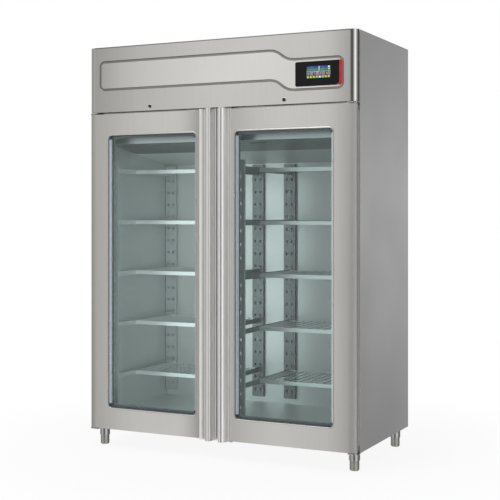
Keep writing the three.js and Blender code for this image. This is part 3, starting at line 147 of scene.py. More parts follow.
class Paint(Graph):
    """A material round one Principled shader."""

    def __init__(self, name, color, roughness, metallic=0.0, **sockets):
        self.material = bpy.data.materials.new(name)
        self.material.use_nodes = True
        super().__init__(self.material.node_tree)
        self.shader = self.node("ShaderNodeBsdfPrincipled")
        self.output = self.node("ShaderNodeOutputMaterial")
        self.surface(self.shader.outputs[0])
        values = {"Base Color": (*color, 1), "Roughness": roughness, "Metallic": metallic}
        for socket, value in {**values, **sockets}.items():
            self.shader.inputs[socket].default_value = value

    def surface(self, source):
        self.feed(self.output.inputs["Surface"], source)

    def noise(self, scale, detail=3.0, stretch=(1, 1, 1)):
        """Noise over the piece in metres, drawn out by stretch."""
        place = self.node("ShaderNodeTexCoord")
        mapping = self.node("ShaderNodeMapping")
        mapping.inputs["Scale"].default_value = [scale * s for s in stretch]
        made = self.node("ShaderNodeTexNoise")
        made.inputs["Scale"].default_value = 1
        made.inputs["Detail"].default_value = detail
        self.feed(mapping.inputs["Vector"], place.outputs["Object"])
        self.feed(made.inputs["Vector"], mapping.outputs[0])
        return made.outputs["Fac"]

    def tint(self, source, low, high):
        """A colour between low and high."""
        return self.blended_color(self.spread(source, 0, 1), (*low, 1), (*high, 1))

    def color(self, source):
        self.feed(self.shader.inputs["Base Color"], source)

    def rough(self, source):
        self.feed(self.shader.inputs["Roughness"], source)

    def bump(self, source, distance):
        """Height from the source, on top of any bump that the shader already has."""
        made = self.node("ShaderNodeBump")
        made.inputs["Distance"].default_value = distance
        self.feed(made.inputs["Height"], source)
        normal = self.shader.inputs["Normal"]
        if normal.is_linked:
            self.feed(made.inputs["Normal"], normal.links[0].from_socket)
        self.feed(normal, made.outputs[0])

    def fall(self, letter, start, end, tilt):
        """Height of a sheet that is flat up to start and falls away to a slope of tilt at end."""
        sign = math.copysign(1, end - start)
        past = self.math("MULTIPLY", self.math("SUBTRACT", self.axes()[letter], start), sign)
        beyond = self.math("MAXIMUM", past, 0.0)
        slope = -math.tan(math.radians(tilt)) / (2 * abs(end - start))
        return self.math("MULTIPLY", self.math("MULTIPLY", beyond, beyond), slope)

    def within(self, box):
        """One inside a box given as (axis, low, high) rows, else zero."""
        mask = 1.0
        for letter, low, high in box:
            mask = self.math("MULTIPLY", self.between(letter, low, high), mask)
        return mask

    def outside(self, letter, start, end):
        """Rises from zero to one as the distance from the middle goes from start to end."""
        return self.spread(self.math("ABSOLUTE", self.axes()[letter]), 0, 1, start, end)

    def rough_where(self, mask, roughness):
        socket = self.shader.inputs["Roughness"]
        self.feed(socket, self.blended(mask, socket.links[0].from_socket, roughness))

    def tone(self, mask, factor):
        """The base colour times a factor where the mask is one."""
        base = self.shader.inputs["Base Color"]
        grey = (factor, factor, factor, 1)
        before = base.links[0].from_socket
        self.color(self.blended_color(mask, before, grey, blend_type="MULTIPLY"))

    def patch(self, mask, color, roughness, metallic=None):
        """Another colour and roughness where the mask is one, for a different finish or for painted
        light or shade.
        """
        base = self.shader.inputs["Base Color"]
        self.color(self.blended_color(mask, base.links[0].from_socket, (*color, 1)))
        self.rough_where(mask, roughness)
        if metallic is not None:
            metal = self.shader.inputs["Metallic"]
            self.feed(metal, self.blended(mask, metal.default_value, metallic))


def shade(color, factor):
    return [min(1.0, channel * factor) for channel in color]


# Materials

# Brushed sheet: the grain's scale, contrast and height in metres, and the change in its polish
GRAIN_SCALE, GRAIN_CONTRAST, GRAIN_HEIGHT = 1100, 0.03, 0.00001
POLISH_SCALE, POLISH_CHANGE = 2.2, 0.03


def brushed(name, color, roughness, grain=(1, 1, 0.006), bow=()):
    """Satin stainless sheet: fine grain along one direction, and a slow change in its polish.

    A bow is the slight fall of a folded sheet towards its ends along X: start, end and last tilt.
    """
    paint = Paint(name, color, roughness, metallic=1.0)
    for start, end, tilt in bow:
        paint.bump(paint.fall("X", start, end, tilt), 1.0)
    streaks = paint.noise(GRAIN_SCALE, detail=2.0, stretch=grain)
    dark, light = shade(color, 1 - GRAIN_CONTRAST), shade(color, 1 + GRAIN_CONTRAST)
    paint.color(paint.tint(streaks, dark, light))
    polish = paint.noise(POLISH_SCALE, detail=2.0)
    paint.rough(paint.spread(polish, roughness - POLISH_CHANGE, roughness + POLISH_CHANGE))
    paint.bump(streaks, GRAIN_HEIGHT)
    return paint


def moulded_plastic(name, color, roughness):
    """Moulded plastic with a fine spark-eroded grain."""
    paint = Paint(name, color, roughness)
    grain = paint.noise(900, detail=2.0)
    paint.color(paint.tint(paint.noise(9), shade(color, 0.92), shade(color, 1.08)))
    paint.rough(paint.spread(grain, roughness - 0.06, roughness + 0.06))
    paint.bump(grain, 0.00004)
    return paint


def rubber(name, color):
    """Matt extruded rubber, slightly dusty."""
    paint = Paint(name, color, 0.7)
    dust = paint.noise(60)
    paint.color(paint.tint(dust, shade(color, 0.85), shade(color, 1.25)))
    paint.rough(paint.spread(dust, 0.6, 0.85))
    paint.bump(paint.noise(1500, detail=2.0), 0.00005)
    return paint


def powder_coat(name, color, roughness=0.5):
    """Powder-coated metal with a faint orange peel."""
    paint = Paint(name, color, roughness)
    peel = paint.noise(420, detail=2.0)
    paint.color(paint.tint(paint.noise(6), shade(color, 0.94), shade(color, 1.06)))
    paint.rough(paint.spread(peel, roughness - 0.05, roughness + 0.05))
    paint.bump(peel, 0.00008)
    return paint


def drawn_metal(name, color, roughness):
    """Rolled or drawn bare metal with soft blotches, for coils and pipes."""
    paint = Paint(name, color, roughness, metallic=1.0)
    blotches = paint.noise(35, detail=4.0)
    paint.color(paint.tint(blotches, shade(color, 0.82), shade(color, 1.12)))
    paint.rough(paint.spread(blotches, roughness + 0.1, roughness - 0.05))
    paint.bump(paint.noise(240), 0.00005)
    return paint


GLASS_IOR = 1.45


def window_glass(name, tint, mirror):
    """A pane that tints what is behind it and mirrors a little, with faint wipe marks."""
    paint = Paint(name, (0.9, 0.95, 0.95), 0.03, metallic=1.0)
    paint.rough(paint.spread(paint.noise(14, detail=4.0, stretch=(1, 1, 0.3)), 0.02, 0.06))
    clear = paint.node("ShaderNodeBsdfTransparent")
    clear.inputs["Color"].default_value = (*tint, 1)
    facing = paint.node("ShaderNodeFresnel")
    facing.inputs["IOR"].default_value = GLASS_IOR
    mixed = paint.node("ShaderNodeMixShader")
    paint.feed(mixed.inputs["Fac"], paint.math("MULTIPLY", facing.outputs[0], mirror))
    paint.feed(mixed.inputs[1], clear.outputs[0])
    paint.feed(mixed.inputs[2], paint.shader.outputs[0])
    paint.surface(mixed.outputs[0])
    return paint


def gloss(name, color, roughness=0.08, specular=0.2):
    """High-gloss acrylic over print, with faint smears."""
    paint = Paint(name, color, roughness, **{"Specular IOR Level": specular})
    smears = paint.noise(30, detail=5.0)
    paint.color(paint.tint(smears, shade(color, 0.85), shade(color, 1.2)))
    paint.rough(paint.spread(smears, roughness, roughness + 0.08))
    return paint


SCREEN_GLOW = 0.5


def lit_print(name, color):
    """A lit area of a display, with a fine pixel grain."""
    paint = Paint(name, color, 0.3, **{"Emission Strength": SCREEN_GLOW})
    made = paint.tint(paint.noise(700, detail=0.0), shade(color, 0.85), shade(color, 1.15))
    paint.color(made)
    paint.feed(paint.shader.inputs["Emission Color"], made)
    return paint


# The header's field inside the embossed outline: its ends, and its heights before and past the bend
OUTLINE_ENDS = (-0.678, 0.678)
OUTLINE_BEND = (0.296, 0.430)
OUTLINE_LOW = (1.868, 1.816)
OUTLINE_HIGH = (2.012, 1.962)


def outlined_field(paint):
    """One inside the header's embossed outline, else zero."""
    x, _, z = paint.axes()
    edges = []
    for heights in (OUTLINE_LOW, OUTLINE_HIGH):
        edge = paint.node("ShaderNodeMapRange", interpolation_type="SMOOTHSTEP")
        for socket, value in zip(RANGE_SOCKETS, OUTLINE_BEND + heights):
            edge.inputs[socket].default_value = value
        paint.feed(edge.inputs["Value"], x)
        edges.append(edge.outputs[0])
    above = paint.math("GREATER_THAN", z, edges[0])
    below = paint.math("LESS_THAN", z, edges[1])
    across = paint.between("X", *OUTLINE_ENDS)
    return paint.math("MULTIPLY", paint.math("MULTIPLY", above, below), across)


MATT = 0.5

# Front sheets; the bows stand for the slight curve of a panel between its folds
FRONT_COLOR = (0.62, 0.605, 0.58)
FRONT_ROUGHNESS = 0.34
LEFT_DOOR_BOW = ((-0.34, -0.72, 6.0), (-0.255, -0.09, 9.0))
RIGHT_DOOR_BOW = ((0.45, 0.09, 8.0), (0.585, 0.735, 5.0))
FASCIA_BOW = ((0.395, -0.70, 6.0), (0.57, 0.71, 4.5))
LEFT_DOOR_STEEL = brushed("left_door_steel", FRONT_COLOR, FRONT_ROUGHNESS, bow=LEFT_DOOR_BOW)
RIGHT_DOOR_STEEL = brushed("right_door_steel", FRONT_COLOR, FRONT_ROUGHNESS, bow=RIGHT_DOOR_BOW)
FASCIA_STEEL = brushed("header_steel", FRONT_COLOR, FRONT_ROUGHNESS, bow=FASCIA_BOW)

# Header: painted shade in the groove, a painted reflection that brightens the field inside it, and
# painted shade that darkens the left end and runs as a dark line along the top fold
GROOVE = ("Y", -0.37485, -0.3715)
GROOVE_SHADE_COLOR = (0.30, 0.285, 0.275)
FIELD_REFLECTION_TONE = 1.18
HEADER_END, HEADER_END_SHADE = (-0.70, -0.45), 0.86
FIELD_END, FIELD_END_SHADE = (-0.69, -0.55), 0.88
TOP_FOLD, TOP_FOLD_SHADE = ("Z", 2.0845, 2.0910), 0.4


def paint_header_light_and_shade(paint):
    def left_end(places):
        return paint.spread(paint.axes()["X"], 1, 0, *places)

    # Painted shade in the groove: a dark matt grey
    paint.patch(paint.between(*GROOVE), GROOVE_SHADE_COLOR, MATT)
    field = outlined_field(paint)
    # Painted reflection: the field inside the outline is brighter
    paint.tone(field, FIELD_REFLECTION_TONE)
    # Painted shade darkens the header's left end, and the field's left end further
    paint.tone(left_end(HEADER_END), HEADER_END_SHADE)
    paint.tone(paint.math("MULTIPLY", field, left_end(FIELD_END)), FIELD_END_SHADE)
    # Painted shade: a dark line along the top fold
    paint.tone(paint.between(*TOP_FOLD), TOP_FOLD_SHADE)


# Doors: the rounded outer edge is more matt and, past its turn, a little darker with painted shade
DOOR_TURN, DOOR_TURN_ROUGHNESS = (0.700, 0.712), 0.62
DOOR_SIDE, DOOR_SIDE_SHADE = (0.715, 0.735), 0.92


def door_finish_and_shade(paint):
    paint.rough_where(paint.outside("X", *DOOR_TURN), DOOR_TURN_ROUGHNESS)
    # Painted shade past the turn of the outer edge
    paint.tone(paint.outside("X", *DOOR_SIDE), DOOR_SIDE_SHADE)


paint_header_light_and_shade(FASCIA_STEEL)
door_finish_and_shade(LEFT_DOOR_STEEL)
door_finish_and_shade(RIGHT_DOOR_STEEL)

# Header corners: a dark line of painted shade beside the column's bright face, and painted shade that
# darkens the outer edge
CORNER_LINE, CORNER_LINE_SHADE = ("X", 0.7155, 0.7200), 0.45
CORNER_EDGE, CORNER_EDGE_SHADE = (0.7440, 0.7480), 0.6
CORNER_STEEL = brushed("header_corner_steel", (0.66, 0.645, 0.62), 0.13)
# Painted shade: a dark line beside the bright face, and a darker outer edge
CORNER_STEEL.tone(CORNER_STEEL.between(*CORNER_LINE), CORNER_LINE_SHADE)
CORNER_STEEL.tone(CORNER_STEEL.outside("X", *CORNER_EDGE), CORNER_EDGE_SHADE)

# Casing: the room inside is lined with a lighter, more matt sheet than the outside, made lighter
# still as painted light for the dim room; the jambs round it are painted pale and matt, as painted
# light against the shade in the door gap
ROOM = (("X", -0.6915, 0.6915), ("Y", -0.3325, 0.3365), ("Z", 0.1725, 1.7495))
JAMB, JAMB_SIDE = ("Y", -0.3336, -0.3325), (0.6950, 0.6955)
CASING_STEEL = brushed("casing_steel_sheet", (0.50, 0.50, 0.50), 0.32)
# A lighter, more matt liner inside the room, lightened further as painted light
CASING_STEEL.patch(CASING_STEEL.within(ROOM), (0.84, 0.87, 0.865), MATT, metallic=0.3)
# Painted light on the jambs, against the shade in the door gap
lit_jambs = CASING_STEEL.math(
    "MULTIPLY", CASING_STEEL.between(*JAMB), CASING_STEEL.outside("X", *JAMB_SIDE)
)
CASING_STEEL.patch(lit_jambs, (0.70, 0.70, 0.70), MATT, metallic=0.2)

# Evaporator housing: painted shade darkens the slope behind its front, and painted light makes the
# underside behind the slope pale
COVER_SHADED_SLOPE = ("Y", -0.2625, -0.005)
COVER_LIT_UNDERSIDE = ("Y", -0.005, 0.34)
COVER_STEEL = brushed("evaporator_cover_steel", (0.68, 0.70, 0.70), 0.42)
COVER_STEEL.patch(COVER_STEEL.between(*COVER_SHADED_SLOPE), (0.28, 0.305, 0.31), 0.42)
COVER_STEEL.patch(COVER_STEEL.between(*COVER_LIT_UNDERSIDE), (0.88, 0.91, 0.90), MATT, metallic=0.2)

# Shelves have a paler front rail; the inner racks carry painted shade, but for their front uprights
SHELF_RAIL = ("Y", -0.0625, -0.0585)
FRONT_UPRIGHT = ("Y", -0.33, -0.237)
RACK_COLOR = (0.66, 0.69, 0.69)
RACK_METALLIC = 0.5
SHELF_STEEL = brushed("shelf_steel", (0.86, 0.89, 0.89), 0.4)
SHELF_STEEL.patch(SHELF_STEEL.between(*SHELF_RAIL), (0.95, 0.98, 0.98), 0.45, metallic=0.55)
RACK_STEEL = brushed("rack_steel", RACK_COLOR, 0.4)
SHADED_RACK_STEEL = brushed("shaded_rack_steel", (0.25, 0.27, 0.275), 0.4)
SHADED_RACK_STEEL.patch(SHADED_RACK_STEEL.between(*FRONT_UPRIGHT), RACK_COLOR, 0.4)
for rack_steel in (RACK_STEEL, SHADED_RACK_STEEL):
    rack_steel.shader.inputs["Metallic"].default_value = RACK_METALLIC

PROFILE_STEEL = brushed("profile_steel", (0.91, 0.90, 0.88), 0.38)
FITTING_STEEL = brushed("fitting_steel", (0.56, 0.56, 0.55), 0.28, grain=(1, 1, 0.05))
LOCK_STEEL = brushed("lock_steel", (0.045, 0.045, 0.05), 0.3)
BEZEL_STEEL = brushed("lock_bezel_steel", (0.90, 0.90, 0.92), 0.2)
FOOT_STEEL = brushed("foot_steel", (0.50, 0.485, 0.46), 0.5)
LINER_METAL = brushed("glazing_liner", (0.88, 0.94, 1.0), 0.3)

# Inner frame of a door: dark round the glass, less so at the top, and painted pale on its outer side
# as painted light against the shade in the door gap
FRAME_RIM = ("Y", -0.3530, -0.3508)
FRAME_TOP = (FRAME_RIM, ("Z", 1.6120, 1.6300))
FRAME_LIT_SIDE = (0.7430, 0.7435)
FRAME_PLASTIC = moulded_plastic("door_frame_plastic", (0.33, 0.36, 0.38), 0.45)
FRAME_PLASTIC.patch(FRAME_PLASTIC.between(*FRAME_RIM), (0.13, 0.152, 0.157), MATT)
FRAME_PLASTIC.patch(FRAME_PLASTIC.within(FRAME_TOP), (0.20, 0.235, 0.23), MATT)
FRAME_PLASTIC.patch(FRAME_PLASTIC.outside("X", *FRAME_LIT_SIDE), (0.60, 0.60, 0.60), MATT)

PANE = window_glass("window_glass_pane", (0.965, 0.990, 0.987), 0.3)
# The door seal is a light grey, lightened as painted light against the shade in the door gap
SEAL_RUBBER = rubber("door_seal_rubber", (0.50, 0.51, 0.515))
BEAD_RUBBER = rubber("glazing_rubber", (0.12, 0.126, 0.13))
PANEL_GLOSS = gloss("panel_gloss", (0.010, 0.009, 0.010), specular=0.1)
SCREEN_GLOSS = gloss("screen_gloss", (0.02, 0.025, 0.03), 0.05)
FAN_PLASTIC = moulded_plastic("fan_plastic", (0.03, 0.03, 0.032), 0.4)
COMPRESSOR_PAINT = powder_coat("compressor_paint", (0.014, 0.014, 0.016), 0.35)
MACHINE_PAINT = powder_coat("machine_paint", (0.42, 0.43, 0.43))
COIL_METAL = drawn_metal("coil_aluminium", (0.62, 0.63, 0.64), 0.35)
PIPE_METAL = drawn_metal("pipe_copper", (0.62, 0.30, 0.17), 0.25)

STRIPE_PRINT = gloss("panel_red_print", (0.75, 0.015, 0.02), specular=0.3)
BLUE_PRINT = lit_print("screen_blue", (0.035, 0.06, 0.42))
GREEN_PRINT = lit_print("screen_green", (0.03, 0.26, 0.04))
LIGHT_GREEN_PRINT = lit_print("screen_light_green", (0.16, 0.62, 0.06))
WHITE_PRINT = lit_print("screen_white", (0.75, 0.72, 0.74))
LILAC_PRINT = lit_print("screen_lilac", (0.22, 0.19, 0.27))
BLACK_PRINT = gloss("screen_black", (0.01, 0.01, 0.012))
PINK_PRINT = lit_print("screen_pink", (0.50, 0.06, 0.22))
YELLOW_GREEN_PRINT = lit_print("screen_yellow_green", (0.34, 0.52, 0.06))
PALE_BLUE_PRINT = lit_print("screen_pale_blue", (0.50, 0.68, 0.80))

SLOT_PAINTS = {
    "casing_steel": CASING_STEEL,
    "front_steel": FASCIA_STEEL,
    "profile_steel": PROFILE_STEEL,
    "fitting_steel": FITTING_STEEL,
    "rack_steel": SHELF_STEEL,
    "window_glass": PANE,
    "frame_plastic": FRAME_PLASTIC,
    "seal_rubber": SEAL_RUBBER,
    "panel_plastic": PANEL_GLOSS,
    "screen_glass": SCREEN_GLOSS,
    "coil_aluminium": COIL_METAL,
    "fan_plastic": FAN_PLASTIC,
    "compressor_paint": COMPRESSOR_PAINT,
    "machine_paint": MACHINE_PAINT,
    "pipe_copper": PIPE_METAL,
}
NODE_PAINTS = {
    "left_door_skin": LEFT_DOOR_STEEL,
    "right_door_skin": RIGHT_DOOR_STEEL,
    "left_header_corner": CORNER_STEEL,
    "right_header_corner": CORNER_STEEL,
    "evaporator_cover": COVER_STEEL,
    "left_lock": LOCK_STEEL,
    "right_lock": LOCK_STEEL,
    "left_foot_front": FOOT_STEEL,
    "left_foot_rear": FOOT_STEEL,
    "right_foot_front": FOOT_STEEL,
    "right_foot_rear": FOOT_STEEL,
    "left_inner_rack": SHADED_RACK_STEEL,
    "left_outer_rack": RACK_STEEL,
    "right_inner_rack": SHADED_RACK_STEEL,
    "right_outer_rack": RACK_STEEL,
}


# CAD nodes: materials by their record slots, and softened edges


def dress_nodes():
    """Each CAD node gets the material of its record slot and slightly rounded edges."""
    slots = {part["node"]: part["material_slot"] for part in frame["record"]["subparts"]}
    for name, node in NODES.items():
        paint = NODE_PAINTS.get(name, SLOT_PAINTS[slots[name]])
        for slot in node.material_slots:
            slot.material = paint.material
        if slots[name] != "window_glass":
            soften(node, EDGE_RADIUS)


def soften(made, radius):
    """Welds the seams of the mesh, joins its flat faces and rounds its edges."""
    weld = made.modifiers.new("weld", "WELD")
    weld.merge_threshold = WELD_DISTANCE
    flat = made.modifiers.new("flat", "DECIMATE")
    flat.decimate_type = "DISSOLVE"
    flat.angle_limit = FLAT_ANGLE
    bevel = made.modifiers.new("bevel", "BEVEL")
    bevel.width = radius
    bevel.segments = EDGE_SEGMENTS
    bevel.limit_method = "ANGLE"
    bevel.angle_limit = EDGE_ANGLE
    made.modifiers.new("normals", "WEIGHTED_NORMAL")


dress_nodes()


# Pieces


def piece(name, form, paint, body, radius=0.0):
    """A bmesh form as a piece that rides on a body."""
    mesh = bpy.data.meshes.new(name)
    bmesh.ops.recalc_face_normals(form, faces=form.faces)
    for face in form.faces:
        face.smooth = True
    form.to_mesh(mesh)
    form.free()
    made = bpy.data.objects.new(name, mesh)
    bpy.context.scene.collection.objects.link(made)
    mesh.materials.append(paint.material)
    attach(made, body)
    if radius:
        soften(made, radius)


def skin(form, row, following):
    """A band of faces between two closed loops of vertices."""
    for index in range(len(row)):
        after = (index + 1) % len(row)
        form.faces.new((row[index], row[after], following[after], following[index]))


def loft(form, loops):
    """Skin closed loops of equal length into one closed band, whose last loop joins the first."""
    rows = [[form.verts.new(place) for place in loop] for loop in loops]
    for row, following in zip(rows, rows[1:] + rows[:1]):
        skin(form, row, following)


def prism(form, loops):
    """A solid between two flat closed loops of equal length."""
    ends = [[form.verts.new(place) for place in loop] for loop in loops]
    for end in ends:
        form.faces.new(end)
    skin(form, *ends)


def corner_turns():
    """Directions round a full turn in four quarters, with the quarter's number."""
    for corner in range(4):
        for step in range(QUARTER_STEPS + 1):
            angle = math.radians(90 * (corner + step / QUARTER_STEPS))
            yield corner, math.cos(angle), math.sin(angle)


def rounded_rectangle(left, right, low, high, radius, inset):
    """Points of a rounded rectangle in X and Z, moved inwards by inset."""
    centres = [
        (right - radius, high - radius),
        (left + radius, high - radius),
        (left + radius, low + radius),
        (right - radius, low + radius),
    ]
    reach = radius - inset
    return [(centres[q][0] + c * reach, centres[q][1] + s * reach) for q, c, s in corner_turns()]


def window_ring(left, right, section):
    """A ring along a window's edge; the section is a list of insets and Y places."""
    form = bmesh.new()
    loops = []
    for inset, y in section:
        outline = rounded_rectangle(left, right, WINDOW_LOW, WINDOW_HIGH, WINDOW_RADIUS, inset)
        loops.append([(x, y, z) for x, z in outline])
    loft(form, loops)
    return form


# Glazing bead and liner strips round each window: insets from the window's edge, and Y places
BEAD_SECTION = [
    (0.0001, -0.3695),
    (0.0001, -0.3748),
    (0.0005, -0.3752),
    (0.0013, -0.3752),
    (0.0018, -0.3748),
    (0.0018, -0.3695),
]
LINER_SECTION = [
    (0.0002, -0.3693),
    (0.0012, -0.3693),
    (0.0012, -0.3587),
    (0.0120, -0.3587),
    (0.0120, -0.3577),
    (0.0002, -0.3577),
]
LINER_MARGIN = 0.020
LINER_EDGE_RADIUS = 0.0002

# Rolled steel edge round each window, on the door's front
ROLL_SECTION = [
    (0.0, -0.3749),
    (-0.0002, -0.3756),
    (-0.0015, -0.3762),
    (-0.0040, -0.3764),
    (-0.0058, -0.3762),
    (-0.0066, -0.3750),
]


def glaze_window(side, sign):
    """Bead, rolled edge and upright liner strips of one door's window."""
    body = f"{side}_door"
    left, right = sorted((sign * WINDOW_INNER, sign * WINDOW_OUTER))
    bead = window_ring(left, right, BEAD_SECTION)
    piece(f"{side}_window_bead", bead, BEAD_RUBBER, body)
    roll = window_ring(left, right, ROLL_SECTION)
    piece(f"{side}_window_roll", roll, FITTING_STEEL, body)
    liner = bmesh.new()
    heights = (WINDOW_LOW + LINER_MARGIN, WINDOW_HIGH - LINER_MARGIN)
    for edge, inward in ((left, 1), (right, -1)):
        outline = [(edge + inward * inset, y) for inset, y in LINER_SECTION]
        prism(liner, [[(x, y, z) for x, y in outline] for z in heights])
    piece(f"{side}_window_liner", liner, LINER_METAL, body, LINER_EDGE_RADIUS)


glaze_window("left", -1)
glaze_window("right", 1)


# Controls

# Panel: its printed face and its edges, and the red stripe at its right end
PANEL_FRONT = -0.3770
PANEL_RIGHT, PANEL_LOW, PANEL_HIGH = 0.674, 1.830, 1.948
PANEL_TURN = 0.018
STRIPE_WIDTH = 0.0115
STRIPE_INSET, STRIPE_TOP_INSET = 0.0006, 0.0020
STRIPE_TAIL = (0.649, 0.004)
PRINT_THICK = 0.0002
PRINT_OVERLAP = 0.00002


def plate(form, outline, front):
    """A thin print of an outline in X and Z, standing forward from a plane."""
    planes = (front + PRINT_OVERLAP, front - PRINT_THICK)
    prism(form, [[(x, y, z) for x, z in outline] for y in planes])


def quarter_turn(x, z, radius, start):
    """Points of a quarter turn round (x, z), from an angle in degrees."""
    angles = [math.radians(start + 90 * step / QUARTER_STEPS) for step in range(QUARTER_STEPS + 1)]
    return [(x + radius * math.cos(a), z + radius * math.sin(a)) for a in angles]


def red_stripe():
    """The red edge of the panel, which turns in under it and runs thin."""
    right, low = PANEL_RIGHT - STRIPE_INSET, PANEL_LOW + STRIPE_INSET
    high = PANEL_HIGH - STRIPE_TOP_INSET
    tail, tail_height = STRIPE_TAIL
    inner = right - STRIPE_WIDTH
    turn = PANEL_TURN - STRIPE_WIDTH / 2
    outline = quarter_turn(right - PANEL_TURN, low + PANEL_TURN, PANEL_TURN, -90)
    outline += [(right, high), (inner, high)]
    outline += quarter_turn(inner - turn, low + tail_height + turn, turn, -90)[::-1]
    outline += [(tail, low + tail_height), (tail, low)]
    form = bmesh.new()
    plate(form, outline, PANEL_FRONT)
    piece("panel_red_stripe", form, STRIPE_PRINT, "header")


# Screen: places on it are shares of its width and height from its top left corner
SCREEN_FRONT = -0.3767
SCREEN_LEFT, SCREEN_TOP = 0.4923, 1.9257
SCREEN_WIDTH, SCREEN_HEIGHT = 0.1264, 0.0604
TILE_CHAMFER = 0.0005
OVER_SCREEN = SCREEN_FRONT - PRINT_THICK
OVER_FIELDS = OVER_SCREEN - PRINT_THICK

# Rows and columns of the display
FIRST_ROW, SECOND_ROW, KEY_ROW = (0.06, 0.20), (0.22, 0.36), (0.81, 0.96)
LEFT_BAR = (0.03, 0.50)
FIELD_ROW, RED_KEY_ROW = (0.50, 0.76), (0.62, 0.74)
READING_LEFTS = [0.05 + 0.24 * index for index in range(4)]
FIELD_WIDTH = 0.11
RED_KEY_INSET, RED_KEY_WIDTH = 0.15, 0.05
KEY_LEFTS = [0.03 + 0.12 * index for index in range(8)]
KEY_WIDTH = 0.09
LIT_KEY = 4

# Segments of a digit as (left, right, top, bottom) shares of its field
SEGMENTS = {
    "a": (0.1, 0.9, 0.0, 0.12),
    "b": (0.8, 1.0, 0.06, 0.48),
    "c": (0.8, 1.0, 0.52, 0.94),
    "d": (0.1, 0.9, 0.88, 1.0),
    "e": (0.0, 0.2, 0.52, 0.94),
    "f": (0.0, 0.2, 0.06, 0.48),
    "g": (0.1, 0.9, 0.44, 0.56),
}
DIGITS = {
    "0": "abcdef",
    "1": "bc",
    "2": "abged",
    "3": "abgcd",
    "5": "afgcd",
    "7": "abc",
    "8": "abcdefg",
}
READINGS = ("02", "75", "30", "18")
DIGIT_WIDTH, DIGIT_GAP, DIGIT_TOP, DIGIT_HEIGHT = 0.030, 0.012, 0.55, 0.16
DIGIT_INSET = 0.018


def tile(form, left, right, top, bottom, front=SCREEN_FRONT):
    """A tile on the screen with its corners cut."""
    x0, x1 = (SCREEN_LEFT + share * SCREEN_WIDTH for share in (left, right))
    z1, z0 = (SCREEN_TOP - share * SCREEN_HEIGHT for share in (top, bottom))
    c = min(TILE_CHAMFER, (x1 - x0) / 4, (z1 - z0) / 4)
    outline = [(x0 + c, z0), (x1 - c, z0), (x1, z0 + c), (x1, z1 - c)]
    outline += [(x1 - c, z1), (x0 + c, z1), (x0, z1 - c), (x0, z0 + c)]
    plate(form, outline, front)


def digit(form, character, left):
    for name in DIGITS[character]:
        x0, x1, z0, z1 = SEGMENTS[name]
        sides = (left + x0 * DIGIT_WIDTH, left + x1 * DIGIT_WIDTH)
        heights = (DIGIT_TOP + z0 * DIGIT_HEIGHT, DIGIT_TOP + z1 * DIGIT_HEIGHT)
        tile(form, *sides, *heights, OVER_FIELDS)


def screen_piece(name, paint, *tiles, front=SCREEN_FRONT):
    form = bmesh.new()
    for sides in tiles:
        tile(form, *sides, front)
    piece(name, form, paint, "header")


def screen_display():
    """A plain display of bars, readings and keys."""
    blue_bars = ((*LEFT_BAR, *FIRST_ROW), (0.55, 0.84, *FIRST_ROW))
    green_bars = ((*LEFT_BAR, *SECOND_ROW), (0.55, 0.86, *SECOND_ROW))
    white_marks = ((0.88, 0.96, 0.06, 0.18), (0.51, 0.54, 0.05, 0.37))
    screen_piece("screen_blue_bar", BLUE_PRINT, *blue_bars)
    screen_piece("screen_green_bar", GREEN_PRINT, *green_bars)
    screen_piece("screen_light_key", LIGHT_GREEN_PRINT, (0.88, 0.97, *SECOND_ROW))
    screen_piece("screen_white_marks", WHITE_PRINT, *white_marks)
    screen_piece("screen_field", LILAC_PRINT, (0.02, 0.98, 0.39, 0.78))
    fields = [(left, left + FIELD_WIDTH, *FIELD_ROW) for left in READING_LEFTS]
    screen_piece("screen_reading_fields", BLACK_PRINT, *fields, front=OVER_SCREEN)
    red_key_lefts = [left + RED_KEY_INSET for left in READING_LEFTS]
    red_keys = [(left, left + RED_KEY_WIDTH, *RED_KEY_ROW) for left in red_key_lefts]
    screen_piece("screen_red_keys", PINK_PRINT, *red_keys, front=OVER_SCREEN)
    keys = [(left, left + KEY_WIDTH, *KEY_ROW) for left in KEY_LEFTS]
    screen_piece("screen_keys", YELLOW_GREEN_PRINT, *keys[:LIT_KEY], *keys[LIT_KEY + 1 :])
    screen_piece("screen_lit_key", PALE_BLUE_PRINT, keys[LIT_KEY])
    digits = bmesh.new()
    for left, reading in zip(READING_LEFTS, READINGS):
        for place, character in enumerate(reading):
            digit(digits, character, left + DIGIT_INSET + place * (DIGIT_WIDTH + DIGIT_GAP))
    piece("screen_digits", digits, WHITE_PRINT, "header")


# Lock bezels: the right lock's place, and the ring's radii and Y places
LOCK_X, LOCK_Z = 0.376, 1.771
BEZEL_SECTION = [
    (0.0093, -0.37505),
    (0.0093, -0.3764),
    (0.0098, -0.3768),
    (0.0106, -0.3766),
    (0.0114, -0.3758),
    (0.0115, -0.37505),
]
BEZEL_SIDES = 48


def lock_bezel(side, x):
    """The polished ring round a lock."""
    form = bmesh.new()
    turns = [math.tau * index / BEZEL_SIDES for index in range(BEZEL_SIDES)]
    loops = []
    for radius, y in BEZEL_SECTION:
        loops.append([(x + radius * math.cos(t), y, LOCK_Z + radius * math.sin(t)) for t in turns])
    loft(form, loops)
    piece(f"{side}_lock_bezel", form, BEZEL_STEEL, "header")


red_stripe()
screen_display()
lock_bezel("left", -LOCK_X)
lock_bezel("right", LOCK_X)


# Studio

